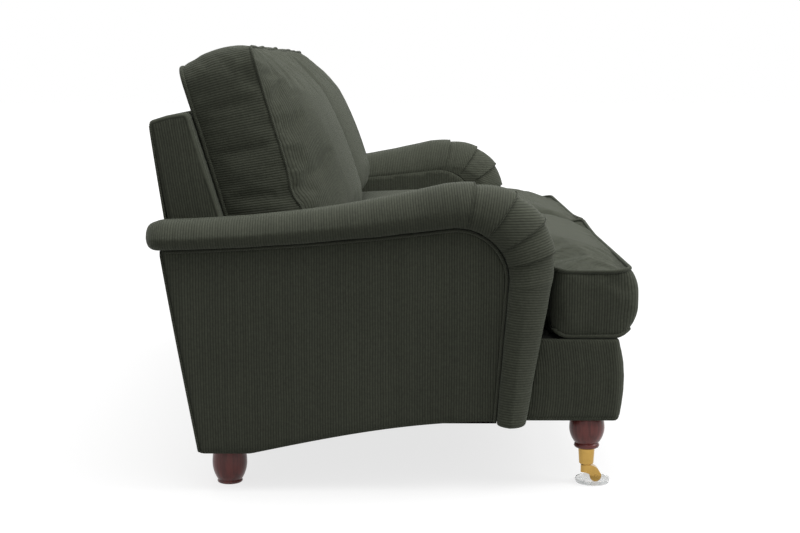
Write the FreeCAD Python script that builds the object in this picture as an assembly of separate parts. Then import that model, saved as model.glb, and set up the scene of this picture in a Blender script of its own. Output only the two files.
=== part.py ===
"""English roll arm sofa with loose cushions, turned legs and brass casters.

Millimetres. X runs across the sofa, the front faces -Y and Z is up. The origin is on the floor,
under the middle of the sofa. The right-hand pieces are modelled at +X and the left ones mirror them.
"""

import FreeCAD, Part
import math
import os

V = FreeCAD.Vector

# Overall
overall_depth = 984.0  # front of the seat cushions to the top rear edge of the back
inside_width = 1500.0  # between the two arms
arm_width = 150.0  # inner arm face to the piping on the outer panel
roll_overhang = 35.0  # arm roll beyond the piping
ear_width = 110.0  # base and seat cushion in front of each arm
deck_height = 305.0  # top of the seat deck
back_height = 737.0  # rear top edge of the back

# Running and fitting gaps
soft_gap = 0.3  # a loose cushion to what it lies against
cushion_side_gap = 5.0  # a seat or back cushion to the arm
column_gap = 2.5  # side border to the front of the arm
stem_clearance = 0.05
axle_clearance = 0.05
wheel_side_gap = 0.3

# Base
base_bottom = 138.0
rear_bottom = 80.0
border_setback = 27.0  # fullest line of the front border behind the cushions' front
border_bulge = 14.0
border_depth = 20.0  # padding in front of the front rail
border_lip = 8.0  # border turned over the front rail
base_side_padding = 8.0
deck_thickness = 18.0
cover_thickness = 1.5  # dust cover
arch_start = 51.0  # the underside is level to this far in front of the rear foot
front_level = 60.0  # the underside is level to this far behind the front of the arm

# Arms
arm_setback = 182.0  # front of the arm behind the front of the seat cushions
welt_rear_height = 490.0
corner_height = 428.0  # centre of the welt's front corner
corner_radius = 105.0
corner_depth = 83.0  # crest of the roll in front of the welt at the corner's end
top_slope = 7.0  # degrees, the welt's slope where it meets the corner
column_lean = 4.5  # degrees, the front of the arm leans back towards the floor
column_bottom = 146.0
roll_rear_rise = 52.0
roll_front_rise = 84.0
column_foot_rise = 56.0
crest_inset = 75.0  # crest of the roll in from its outermost line
fold_step = 4.0
fold_angles = (10.8, 35.0, 56.0, 74.0)  # degrees from upright
fold_rises = (88.0, 103.0, 108.0, 99.0)
fold_width = 1.3  # degrees taken by the edge of a fold
top_steps = 6  # straight stretches that follow the top of the arm
roll_end = 40.0  # rounded end of the roll behind the arm
inner_pad_thickness = 45.0
outer_panel_thickness = 18.0
welt_radius = 3.5
welt_gap = 1.0  # piping to the roll over it
column_foot_round = 6.0

# Back
back_rake = 0.153  # outside of the back, depth per height
pad_rake = 0.30  # inside of the back, depth per height
back_top_thickness = 75.0
back_top_rise = 20.0  # inner top edge above the rear top edge
back_side_width = 30.0  # back above the arms beyond the inner arm faces
back_panel_thickness = 6.0
panel_drop = 4.0  # wide part of the back panel below the piping's rear end
cheek_lift = 20.0  # sides of the back start this far above the piping's rear end
post_depth = 45.0
post_width = 35.0
post_inset = 3.0
top_rail_drop = 9.0  # top rail below the rear top edge
top_rail_height = 31.0
webbing_thickness = 2.0
webbing_width = 50.0
webbing_count = 9
webbing_tack = 20.0  # webbing fixed on the top rail

# Wooden frame
rail_thickness = 30.0
side_rail_thickness = 22.0
rail_height = 28.0  # arm rails
back_rail_height = 93.0
lower_rail_foot = 25.0  # back lower rail above the deck
seat_rail_height = 45.0
seat_rail_setback = 25.0  # behind the foot of the inside back
centre_rail_drop = 5.0  # below the other seat rails, clear of the springs
block_size = 45.0
block_height = 60.0

# Springs
spring_count = 8
spring_spacing = 180.0
spring_width = 48.0
spring_pitch = 32.0
wire_radius = 2.0
clip_length = 26.0
clip_depth = 12.0
clip_height = 5.5

# Seat cushions
seat_lower_seam = 13.0  # above the underside
seat_upper_seam = 135.0
seat_inner_rise = 14.0  # upper seam between the two cushions above the outer one
seat_crown = 187.0
seat_rear_height = 160.0
seat_front_round = 25.0
seat_ear_gap = 6.0  # ear to the front of the arm
seat_inset = 12.0
seat_shoulder = 115.0  # width over which the crown rises from a seam
seat_shoulder_share = 0.72
seat_high_place = 242.0  # crown is highest this far behind the front
seat_rear_gap = 6.0  # to the inside back, at the deck
seat_side_inset = 2.0  # side of the ear in from the side of the base
seat_front_rows = ((11.0, 16.0, 117.0), (4.0, 40.0, 101.0), (0.0, 62.0, 85.0))  # depth, low, high

# Back cushions
cushion_boxing = 154.0
cushion_crown = 105.0
cushion_rise = 87.0  # top of a back cushion beyond the top of the back
cushion_round = 325.0  # the crown is fullest this far below the top
cushion_shoulder = 130.0
cushion_shoulder_share = 0.70
cushion_draw_in = 8.0
cushion_side_swell = 3.0
cushion_rest = 207.4  # ahead of a seat cushion's rear, where the back cushion stands on it

# Legs and feet
leg_inset = 45.0  # leg axis in from the side of the base
front_leg_setback = 98.0
rear_leg_setback = 155.0
leg_radius = 36.0
leg_widest = 115.5
leg_ring_radius = 26.0
leg_ring_height = 78.0
ferrule_top = 72.0
spigot_radius = 14.0
foot_radius = 35.5
foot_widest = 42.0
foot_base_radius = 26.0
foot_neck_radius = 24.5
bolt_radius = 4.0
bolt_depth = 33.0  # into the leg or foot
nut_flange_radius = 10.0
nut_radius = 5.5
nut_length = 9.0
nut_flange = 1.5

# Casters
ferrule_top_radius = 16.8
ferrule_bottom_radius = 14.8
ferrule_bottom = 40.0
ferrule_floor = 5.0
stem_radius = 5.0
stem_head_radius = 8.0
stem_head_height = 3.0
collar_radius = 9.5
horn_top = 37.0
horn_plate_radius = 11.4
horn_underside = 22.0
horn_width = 21.0
cheek_radius = 9.0
wheel_radius = 11.75
wheel_width = 12.0
wheel_offset = 19.0
axle_radius = 2.5
axle_head_radius = 4.0
axle_head = 1.0
cup_radius = 35.5
cup_offset = 12.5
cup_height = 9.0
cup_floor = 1.6
cup_wall = 2.5
cup_cone = 2.0  # the wall leans out by this much

# Places worked out from the sizes above
y_front = -overall_depth / 2
y_rear = overall_depth / 2
x_in = inside_width / 2
x_welt = x_in + arm_width
x_roll = x_welt + roll_overhang
x_base = x_in + ear_width
x_crest = x_roll - crest_inset
y_border = y_front + border_setback
y_rail = y_border + border_depth
x_rail = x_base - base_side_padding
x_leg = x_base - leg_inset
y_front_leg = y_front + front_leg_setback
y_rear_leg = y_rear - rear_leg_setback
deck_underside = deck_height - deck_thickness
spring_axis = deck_underside - clip_height + wire_radius
rail_top = spring_axis - wire_radius
stem_foot = horn_top - 7.0
wheel_height = cup_floor + soft_gap + wheel_radius


def box(x0, x1, y0, y1, z0, z1):
    """Block between two corners."""
    return Part.makeBox(x1 - x0, y1 - y0, z1 - z0, V(x0, y0, z0))


def slab(outline, x0, x1):
    """Outline of (depth, height) points carried across from x0 to x1."""
    points = [V(x0, y, z) for y, z in outline]
    face = Part.Face(Part.makePolygon(points + points[:1]))
    return face.extrude(V(x1 - x0, 0, 0))


def turned(profile, x, y):
    """Body of revolution about an upright axis from (radius, height) points."""
    points = [V(x, y, profile[0][1])] + [V(x + r, y, z) for r, z in profile]
    points.append(V(x, y, profile[-1][1]))
    face = Part.Face(Part.makePolygon(points + points[:1]))
    return face.revolve(V(x, y, 0), V(0, 0, 1), 360)


def round_turned(start, curve, finish, x, y):
    """Body of revolution whose side is a smooth curve between two plain ends."""
    edges = []
    lower = [V(x, y, start[0][1])] + [V(x + r, y, z) for r, z in start]
    upper = [V(x + r, y, z) for r, z in finish] + [V(x, y, finish[-1][1])]
    for a, b in zip(lower, lower[1:]):
        edges.append(Part.LineSegment(a, b).toShape())
    points = [lower[-1]] + [V(x + r, y, z) for r, z in curve] + [upper[0]]
    for a, b, c in zip(points[0::2], points[1::2], points[2::2]):
        edges.append(Part.Arc(a, b, c).toShape())
    for a, b in zip(upper, upper[1:]):
        edges.append(Part.LineSegment(a, b).toShape())
    edges.append(Part.LineSegment(upper[-1], lower[0]).toShape())
    return Part.Face(Part.Wire(edges)).revolve(V(x, y, 0), V(0, 0, 1), 360)


def rod(radius, x, y, z0, z1):
    """Upright round bar."""
    return Part.makeCylinder(radius, z1 - z0, V(x, y, z0))


def mirrored(shape):
    """The same shape on the other side of the sofa."""
    return shape.mirror(V(0, 0, 0), V(1, 0, 0))


def both(name, shape, parts):
    """Store a right-hand piece and its mirror image."""
    parts[name + "_right"] = shape
    parts[name + "_left"] = mirrored(shape)


def rear_y(z):
    """Outside surface of the back at a height."""
    return y_rear - back_rake * (back_height - z)


def pad_y(z):
    """Inside surface of the back at a height."""
    return y_rear - back_top_thickness - pad_rake * (back_height + back_top_rise - z)


def frame_y(z, behind=0.0):
    """A line parallel to the outside of the back, ahead of its panel."""
    return rear_y(z) - back_panel_thickness - behind


def arch(lift=0.0):
    """The line under the arm, from the foot of its front to the rear."""
    y_foot = welt_stations()[-1][0]
    y_level = y_rear_leg - arch_start
    steps = 8
    points = []
    for i in range(steps + 1):
        t = 1 - i / steps
        y = y_level + (y_foot - y_level) * t
        z = rear_bottom + (column_bottom - rear_bottom) * math.sin(0.5 * math.pi * t)
        points.append((y, z + lift))
    return points + [(frame_y(rear_bottom), rear_bottom + lift)]


def underside(lift, y_start):
    """The line under the base, level in front and then along the arch."""
    points = [(y, min(base_bottom, z)) for y, z in arch() if y > y_front + arm_setback + front_level]
    return [(y, z + lift) for y, z in [(y_start, base_bottom)] + points]


def strip(line, thickness):
    """Outline of a layer of even height on a line."""
    return line + [(y, z + thickness) for y, z in reversed(line)]


def height_on(line, y):
    """Height of a line at a depth."""
    ordered = sorted(line)
    for (y0, z0), (y1, z1) in zip(ordered, ordered[1:]):
        if y0 <= y <= y1:
            return z0 + (z1 - z0) * (y - y0) / (y1 - y0)
    raise ValueError("depth off the line")


def depth_on(line, z):
    """Depth of a line at a height."""
    return height_on([(b, a) for a, b in line], z)


def welt_stations():
    """Stations along the welt from the rear of the arm to the foot of its front.

    Each is (depth, height, outward depth, outward height, rise of the crest, squareness of the
    inner shoulder).
    """
    slope = math.radians(top_slope)
    lean = math.radians(column_lean)
    y_corner = y_front + arm_setback + corner_depth + corner_radius
    reach = corner_radius

    def on_corner(angle):
        return (
            y_corner - reach * math.sin(angle),
            corner_height + reach * math.cos(angle),
            -math.sin(angle),
            math.cos(angle),
        )

    stations = []
    y1, z1, n1y, n1z = on_corner(-slope)
    y0 = frame_y(welt_rear_height)
    z0 = welt_rear_height
    # The top of the arm is one arc that leaves the corner along its tangent.
    dy, dz = y0 - y1, z0 - z1
    radius = (dy * dy + dz * dz) / (2 * (dy * n1y + dz * n1z))
    cy, cz = y1 + radius * n1y, z1 + radius * n1z
    start = math.atan2(y0 - cy, cz - z0)
    finish = math.atan2(y1 - cy, cz - z1)
    for i in range(top_steps + 1):
        t = i / top_steps
        a = start + (finish - start) * t
        rise = roll_rear_rise + (roll_front_rise - roll_rear_rise) * t**2.2
        y = cy + abs(radius) * math.sin(a)
        z = cz - abs(radius) * math.cos(a)
        stations.append((y, z, -math.sin(a), math.cos(a), rise, 0.08))
    for degrees, rise in zip(fold_angles, fold_rises):
        square = 0.08 + 0.5 * degrees / 90.0
        if degrees > 2 * fold_angles[0]:
            before = stations[-1]
            middle = 0.5 * (math.degrees(math.atan2(-before[2], before[3])) + degrees)
            hold = 0.5 * (before[4] + rise) + 1.5
            stations.append(on_corner(math.radians(middle)) + (hold, square - 0.06))
        stations.append(on_corner(math.radians(degrees)) + (rise, square))
        stations.append(on_corner(math.radians(degrees + fold_width)) + (rise - fold_step, square))
    end = math.pi / 2 + lean
    foot = on_corner(end)
    drop = foot[1] - column_bottom
    for i in range(6):
        t = i / 5
        rise = corner_depth + (column_foot_rise - corner_depth) * t
        y = foot[0] + math.tan(lean) * drop * t
        stations.append((y, foot[1] - drop * t, foot[2], foot[3], rise, 0.6))
    return stations


def roll_section(station, shrink=1.0, shift=(0.0, 0.0)):
    """Closed outline across the arm roll at a station."""
    y, z, ny, nz, rise, square = station
    x_mid = 0.5 * (x_in + x_roll)

    def at(x, n):
        x = x_mid + (x - x_mid) * shrink
        n = 0.45 * rise + (n - 0.45 * rise) * shrink
        return V(x, y + n * ny + shift[0], z + n * nz + shift[1])

    inner_top = square * rise
    width = x_crest - x_in
    inner_mid = inner_top + (rise - inner_top) * 0.74
    a = at(x_in, 0)
    b = at(x_in, inner_top)
    c = at(x_crest, rise)
    d = at(x_roll, 0.42 * rise)
    e = at(x_welt, 0)
    edges = [
        Part.LineSegment(a, b).toShape(),
        Part.Arc(b, at(x_in + 0.33 * width, inner_mid), c).toShape(),
        Part.Arc(c, at(x_roll - 0.24 * crest_inset, 0.82 * rise), d).toShape(),
        Part.Arc(d, at(x_roll - 0.23 * roll_overhang, 0.14 * rise), e).toShape(),
        Part.LineSegment(e, a).toShape(),
    ]
    return Part.Wire(edges)


def arm_roll():
    """Stuffed roll with its fan pleats and the front of the arm, in one cover."""
    stations = welt_stations()
    rear = stations[0]
    back, up = rear[3], -rear[2]
    rounding = ((1.0, 0.42), (0.82, 0.73), (0.5, 0.92))
    sections = []
    for along, shrink in rounding:
        shift = (roll_end * along * back, roll_end * along * up)
        sections.append(roll_section(rear, shrink, shift))
    sections += [roll_section(s) for s in stations]
    last = stations[-1]
    foot = column_foot_round
    sections.append(roll_section(last, 0.93, (-foot * last[3], -foot)))
    return Part.makeLoft(sections, True, True)


def arms(parts):
    """Everything that makes the two arms."""
    roll = arm_roll()
    stations = welt_stations()
    welt = [(s[0], s[1]) for s in stations]
    # The front of the arm is open inside for the side rail and ends on the dust cover.
    y_open = welt[-1][0] + block_size
    cover_top = base_bottom + cover_thickness
    roll = roll.cut(box(0.0, x_rail, y_front, y_open, 0.0, cover_top))
    x_open = x_rail - side_rail_thickness
    roll = roll.cut(box(x_open, x_rail, y_front, y_open, cover_top, rail_top))
    both("arm_roll", roll, parts)
    x_frame = x_welt - outer_panel_thickness
    outline = welt[:-1] + arch()
    both("outer_arm_panel", slab(outline, x_frame, x_welt), parts)

    inner = [p for p in welt if p[1] > deck_height]
    above, foot = inner[-1], welt[-1]
    t = (above[1] - deck_height) / (above[1] - foot[1])
    inner.append((above[0] + (foot[0] - above[0]) * t, deck_height))
    inner.append((frame_y(deck_height), deck_height))
    both("inner_arm_pad", slab(inner, x_in, x_in + inner_pad_thickness), parts)

    x_post = x_rail
    y_near = stations[top_steps][0]
    line = [p for p in welt if p[0] >= y_near]
    lowered = [(y, z - rail_height) for y, z in line]
    z_high = lowered[0][1]
    y_high = frame_y(z_high)
    lowered[0] = (y_high, z_high)
    top = line + lowered[::-1]
    both("arm_top_rail", slab(top, x_in + inner_pad_thickness, x_frame), parts)
    bottom = strip(arch(cover_thickness), rail_height)
    both("arm_bottom_rail", slab(bottom, x_post, x_frame), parts)

    sill = arch(cover_thickness + rail_height)
    y_foot = foot[0] + column_foot_round
    stump = [(y, height_on(sill, y)) for y in (y_foot, y_foot + post_depth)]
    stump += [(y, height_on(lowered, y)) for y in (y_near + post_depth, y_near)]
    both("arm_stump", slab(stump, x_post, x_frame), parts)

    z_low = rear_bottom + cover_thickness + rail_height
    y_low = frame_y(z_low)
    post = [
        (y_low, z_low),
        (y_high, z_high),
        (y_high - post_depth, height_on(lowered, y_high - post_depth)),
        (y_low - post_depth, z_low),
    ]
    both("arm_rear_post", slab(post, x_post, x_frame), parts)
    both("arm_welt", arm_welt(), parts)
    return roll


def arm_welt():
    """Piping in the crease between the roll and the outer panel."""
    stations = welt_stations()
    inset = welt_radius + welt_gap
    points = [(s[0] - inset * s[2], s[1] - inset * s[3]) for s in stations]
    x = x_welt + welt_radius
    top = [V(x, *points[i]) for i in (0, top_steps // 2, top_steps)]
    slope = math.radians(top_slope)
    end = math.pi / 2 + math.radians(column_lean)
    y_corner = y_front + arm_setback + corner_depth + corner_radius
    reach = corner_radius - inset

    def on_corner(angle):
        return V(x, y_corner - reach * math.sin(angle), corner_height + reach * math.cos(angle))

    edges = [
        Part.Arc(*top).toShape(),
        Part.Arc(top[2], on_corner((end - slope) / 2), on_corner(end)).toShape(),
        Part.LineSegment(on_corner(end), V(x, *points[-1])).toShape(),
    ]
    path = Part.Wire(edges)
    rear = stations[0]
    section = Part.Wire(Part.makeCircle(welt_radius, top[0], V(0, rear[3], -rear[2])))
    return path.makePipeShell([section], True, True)


def back(parts, roll):
    """Back frame, padding and panels."""
    x_post = x_in - post_inset
    rail_foot = rear_bottom + cover_thickness
    rail_head = rail_foot + back_rail_height

    def leaning(z0, z1, behind, depth, x0, x1):
        outline = [
            (frame_y(z0, behind), z0),
            (frame_y(z1, behind), z1),
            (frame_y(z1, behind + depth), z1),
            (frame_y(z0, behind + depth), z0),
        ]
        return slab(outline, x0, x1)

    x_side = x_rail
    parts["back_bottom_rail"] = leaning(rail_foot, rail_head, 0, rail_thickness, -x_side, x_side)
    rail_top_height = back_height - top_rail_drop
    post_head = rail_top_height - top_rail_height
    both("back_post", leaning(rail_head, post_head, 0, post_depth, x_post - post_width, x_post), parts)
    parts["back_top_rail"] = leaning(post_head, rail_top_height, 0, post_depth, -x_post, x_post)
    lower = deck_height + lower_rail_foot
    x_between = x_post - post_width
    parts["back_lower_rail"] = leaning(
        lower, lower + post_width, 0, post_depth, -x_between, x_between
    )
    strips = []
    spread = 2 * (x_between - webbing_width)
    for i in range(webbing_count):
        x = -spread / 2 + spread * i / (webbing_count - 1)
        half = webbing_width / 2
        strips.append(
            leaning(lower, post_head + webbing_tack, post_depth, webbing_thickness, x - half, x + half)
        )
    parts["back_webbing"] = Part.makeCompound(strips)

    behind = post_depth + webbing_thickness
    top = back_height + back_top_rise
    front = [
        (pad_y(deck_height), deck_height),
        (pad_y(top - 8.0), top - 8.0),
        (pad_y(top) + 3.0, top),
        (y_rear - 42.0, top - 0.5),
        (y_rear - 14.0, top - 7.0),
        (y_rear - 3.0, back_height + 4.0),
        (y_rear, back_height),
        (rear_y(rail_top_height), rail_top_height),
        (frame_y(rail_top_height, behind), rail_top_height),
        (frame_y(deck_height, behind), deck_height),
    ]
    pad = slab(front, -x_in, x_in)
    x_wide = x_in + back_side_width
    cheek_foot = welt_rear_height + cheek_lift
    cheek = [
        (pad_y(cheek_foot), cheek_foot),
        *front[1:7],
        (frame_y(rail_top_height) + back_panel_thickness, rail_top_height),
        (frame_y(rail_top_height), rail_top_height),
        (frame_y(cheek_foot), cheek_foot),
    ]
    sides = slab(cheek, x_in, x_wide)
    rolls = roll.fuse(mirrored(roll))
    pad = pad.fuse(sides).fuse(mirrored(sides)).removeSplitter()
    parts["inside_back_pad"] = pad.cut(rolls)

    def plate(z0, z1, half):
        outline = [
            (rear_y(z0), z0),
            (rear_y(z1), z1),
            (frame_y(z1), z1),
            (frame_y(z0), z0),
        ]
        return slab(outline, -half, half)

    z_step = welt_rear_height - panel_drop
    panel = plate(rear_bottom, z_step, x_welt)
    upper = plate(z_step, rail_top_height, x_wide)
    parts["outside_back_panel"] = panel.fuse(upper).removeSplitter().cut(rolls)


def base(parts, roll):
    """Seat frame, springs, deck, border and dust cover."""
    rolls = roll.fuse(mirrored(roll))
    rail_bottom = base_bottom + cover_thickness
    y_behind = y_rail + rail_thickness
    parts["front_rail"] = box(-x_rail, x_rail, y_rail, y_behind, rail_bottom, rail_top)

    seat_rail_y = pad_y(deck_height) + seat_rail_setback
    seat_rail = box(
        -x_rail + side_rail_thickness,
        x_rail - side_rail_thickness,
        seat_rail_y,
        seat_rail_y + rail_thickness,
        rail_top - seat_rail_height,
        rail_top,
    )
    parts["rear_seat_rail"] = seat_rail

    line = underside(cover_thickness, y_behind)
    foot = line[-1][1]
    line[-1] = (frame_y(foot, rail_thickness), foot)
    outline = line + [(frame_y(rail_top, rail_thickness), rail_top), (y_behind, rail_top)]
    both("side_rail", slab(outline, x_rail - side_rail_thickness, x_rail), parts)

    # The centre rail ties the front rail to the rear seat rail at mid span.
    half = rail_thickness / 2
    centre = [
        (y_behind, rail_top - seat_rail_height),
        (seat_rail_y, rail_top - seat_rail_height),
        (seat_rail_y, rail_top - centre_rail_drop),
        (y_behind, rail_top - centre_rail_drop),
    ]
    parts["centre_rail"] = slab(centre, -half, half)

    x1 = x_rail - side_rail_thickness
    corners = []
    nuts = []
    bolts = []
    rear_foot = rear_bottom + cover_thickness
    places = (
        (y_front_leg, y_behind, y_front_leg + block_size, rail_bottom),
        (y_rear_leg, y_rear_leg - block_size, frame_y(rear_foot, rail_thickness), rear_foot),
    )
    for y, y0, y1, z0 in places:
        z1 = z0 + block_height
        block = box(x1 - block_size, x1, y0, y1, z0, z1)
        block = block.cut(rod(bolt_radius, x_leg, y, z0 - 1.0, z1 + 1.0))
        block = block.cut(rod(nut_radius, x_leg, y, z1 - nut_length, z1 + 1.0))
        nut = rod(nut_flange_radius, x_leg, y, z1, z1 + nut_flange)
        nut = nut.fuse(rod(nut_radius, x_leg, y, z1 - nut_length, z1))
        nut = nut.cut(rod(bolt_radius, x_leg, y, z0, z1 + 2 * nut_flange))
        bolt = rod(bolt_radius, x_leg, y, z0 - cover_thickness - bolt_depth, z1 + 2.0)
        corners += [block, mirrored(block)]
        nuts += [nut, mirrored(nut)]
        bolts += [bolt, mirrored(bolt)]
    parts["corner_blocks"] = Part.makeCompound(corners)
    parts["tee_nuts"] = Part.makeCompound(nuts)
    parts["hanger_bolts"] = Part.makeCompound(bolts)

    cover = strip(underside(0.0, y_rail + border_lip), cover_thickness)
    sheet = slab(cover, -x_rail, x_rail)
    wing = slab(strip(arch(), cover_thickness), x_rail, x_welt - outer_panel_thickness)
    sheet = sheet.fuse(wing).fuse(mirrored(wing)).removeSplitter()
    for y in (y_front_leg, y_rear_leg):
        for x in (-x_leg, x_leg):
            sheet = sheet.cut(rod(bolt_radius, x, y, 0.0, deck_height))
    parts["dust_cover"] = sheet

    lip = y_rail + border_lip
    outline = [
        V(0, lip, base_bottom),
        V(0, y_border + 14.0, base_bottom),
        V(0, y_border + 8.0, base_bottom + 12.0),
        V(0, y_border + border_bulge, deck_height - 6.0),
        V(0, y_border + border_bulge + 6.0, deck_height),
        V(0, lip, deck_height),
        V(0, lip, rail_top),
        V(0, y_rail, rail_top),
        V(0, y_rail, rail_bottom),
        V(0, lip, rail_bottom),
    ]
    crown = V(0, y_border, 0.5 * (base_bottom + deck_height) + 5.0)
    edges = []
    for i, a in enumerate(outline):
        b = outline[(i + 1) % len(outline)]
        if i == 2:
            edges.append(Part.Arc(a, crown, b).toShape())
        else:
            edges.append(Part.LineSegment(a, b).toShape())
    face = Part.Face(Part.Wire(edges))
    face.translate(V(-x_base, 0, 0))
    parts["front_border"] = face.extrude(V(2 * x_base, 0, 0))

    # The side border runs back to the padded front of the arm.
    crest = [(s[0] + s[4] * s[2], s[1] + s[4] * s[3]) for s in welt_stations()]
    column = [p for p in crest if p[1] < deck_height + 60.0]
    rear_edge = [(y, z) for y, z in column if base_bottom < z < deck_height]
    y_foot = rear_edge[-1][0]
    side_border = [(lip, base_bottom), (y_foot - column_gap, base_bottom)]
    side_border += [(y - column_gap, z) for y, z in reversed(rear_edge)]
    side_border += [(depth_on(column, deck_height) - column_gap, deck_height), (lip, deck_height)]
    side_border += [(lip, rail_top), (y_rail, rail_top), (y_rail, rail_bottom), (lip, rail_bottom)]
    both("side_border", slab(side_border, x_rail, x_base), parts)

    deck = box(-x_in, x_in, lip, pad_y(deck_height), deck_underside, deck_height)
    y_side = y_front + arm_setback + front_level
    for sign in (-1, 1):
        x0, x2 = sorted((sign * x_in, sign * x_rail))
        deck = deck.fuse(box(x0, x2, lip, y_side, deck_underside, deck_height))
    parts["seat_deck"] = deck.removeSplitter().cut(rolls)

    springs(parts, y_rail + rail_thickness / 2, seat_rail_y + rail_thickness / 2)


def springs(parts, y0, y1):
    """Zigzag springs across the seat, held in clips on the front and rear rails."""
    bends = 2 * round((y1 - y0) / spring_pitch)
    pitch = (y1 - y0) / bends
    turn = pitch / 2
    reach = spring_width / 2 - turn
    edges = []
    for i in range(bends + 1):
        y = y0 + pitch * i
        side = 1 if i % 2 else -1
        first = -side if i else 0
        last = side if i < bends else 0
        a = V(first * reach, y, spring_axis)
        b = V(last * reach, y, spring_axis)
        if i == 0:
            a = V(-side * clip_length / 2, y, spring_axis)
        if i == bends:
            b = V(side * clip_length / 2, y, spring_axis)
        edges.append(Part.LineSegment(a, b).toShape())
        if i < bends:
            top = V(side * (reach + turn), y + turn, spring_axis)
            c = V(side * reach, y + pitch, spring_axis)
            edges.append(Part.Arc(b, top, c).toShape())
    path = Part.Wire(edges)
    start = path.Vertexes[0].Point
    section = Part.Wire(Part.makeCircle(wire_radius, start, V(1, 0, 0)))
    wire = path.makePipeShell([section], True, True)
    wires = []
    clips = []
    for i in range(spring_count):
        x = (i - (spring_count - 1) / 2) * spring_spacing
        copy = wire.copy()
        copy.translate(V(x, 0, 0))
        wires.append(copy)
        for y in (y0, y1):
            half_x, half_y = clip_length / 2, clip_depth / 2
            clip = box(x - half_x, x + half_x, y - half_y, y + half_y, rail_top, deck_underside)
            end = V(x - clip_length, y, spring_axis)
            bore = Part.makeCylinder(wire_radius, 2 * clip_length, end, V(1, 0, 0))
            y_low, y_high = y - wire_radius, y + wire_radius
            slot = box(end.x, x + clip_length, y_low, y_high, rail_top - 1.0, spring_axis)
            clips.append(clip.cut(bore).cut(slot))
    parts["seat_springs"] = Part.makeCompound(wires)
    parts["spring_clips"] = Part.makeCompound(clips)


def crown_edges(points):
    """Three arcs over a cushion: up from one seam, across the middle and down to the other."""
    edges = []
    for a, b, c in zip(points[0::2], points[1::2], points[2::2]):
        edges.append(Part.Arc(a, b, c).toShape())
    return edges


def crown_points(start, end, rise, shoulder, share, place):
    """Seven points of a crown between two seams, at (along, height) put in space by place."""
    (x0, h0), (x1, h1) = start, end
    middle = 0.5 * (x0 + x1)
    side = math.copysign(min(shoulder, 0.3 * abs(x1 - x0)), x1 - x0)
    up0, up1 = h0 + (rise - h0) * share, h1 + (rise - h1) * share
    return [
        place(x0, h0),
        place(x0 + 0.42 * side, h0 + 0.62 * (up0 - h0)),
        place(x0 + side, up0),
        place(middle, rise),
        place(x1 - side, up1),
        place(x1 - 0.42 * side, h1 + 0.62 * (up1 - h1)),
        place(x1, h1),
    ]


def seat_section(y, x_out, low, high_in, high_out, crown, underneath):
    """Closed outline across a seat cushion at a depth, with heights over its underside."""
    x0 = soft_gap
    bottom = deck_height + soft_gap

    def at(x, h):
        return V(x, y, bottom + h)

    base_in, base_out = at(x0 + seat_inset, underneath), at(x_out - seat_inset, underneath)
    side_low, side_high = at(x_out - 1.0, low), at(x_out - 1.0, high_out)
    edges = [
        Part.LineSegment(base_in, base_out).toShape(),
        Part.LineSegment(base_out, side_low).toShape(),
        Part.Arc(side_low, at(x_out + 2.0, 0.5 * (low + high_out)), side_high).toShape(),
    ]
    ends = (x_out - 1.0, high_out), (x0, high_in)
    edges += crown_edges(crown_points(*ends, crown, seat_shoulder, seat_shoulder_share, at))
    edges.append(Part.LineSegment(at(x0, high_in), at(x0, low)).toShape())
    edges.append(Part.LineSegment(at(x0, low), base_in).toShape())
    return Part.Wire(edges)


def seat_profile(y):
    """Height of the crown over the underside: highest at mid seat, lower to front and rear."""
    y_high = y_front + seat_high_place
    y_back = pad_y(deck_height) - seat_rear_gap
    if y < y_high:
        t = (y_high - y) / (y_high - (y_front + seat_front_round))
        return seat_crown - (seat_crown - seat_upper_seam - 6.0) * t**3.2
    t = (y - y_high) / (y_back - y_high)
    return seat_crown - (seat_crown - seat_rear_height) * t**1.5


def seat_cushion():
    """Crowned seat cushion whose front reaches round the front of the arm."""
    x_main = x_in - cushion_side_gap
    x_ear = x_base - seat_side_inset
    y_notch = y_front + arm_setback - seat_ear_gap
    y_back = pad_y(deck_height) - seat_rear_gap
    y_seam = y_front + seat_front_round

    def full(y, x_out, drop=0.0):
        crown = seat_profile(y) - drop
        seam = min(seat_upper_seam, crown - 5.0)
        inner = min(seat_upper_seam + seat_inner_rise, crown - 3.0)
        return seat_section(y, x_out, seat_lower_seam, inner, seam, crown, 0.0)

    def closing(y, low, high, x_out):
        return seat_section(y, x_out, low, high - 2.0, high - 2.0, high, low - 8.0)

    rear = [closing(y_back, 30.0, seat_rear_height - 40.0, x_main)]
    rear.append(full(y_back - 10.0, x_main, 10.0))
    stretch = y_back - 10.0 - y_notch
    steps = 6
    rear += [full(y_back - 10.0 - stretch * i / steps, x_main) for i in range(1, steps + 1)]
    main = Part.makeLoft(rear, True, True)

    stretch = y_notch - y_seam
    steps = 5
    front = [full(y_notch - stretch * i / steps, x_ear) for i in range(steps + 1)]
    for ahead, low, high in seat_front_rows:
        front.append(closing(y_front + ahead, low, high, x_ear))
    ear = Part.makeLoft(front, True, True)
    return main.fuse(ear).removeSplitter()


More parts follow.
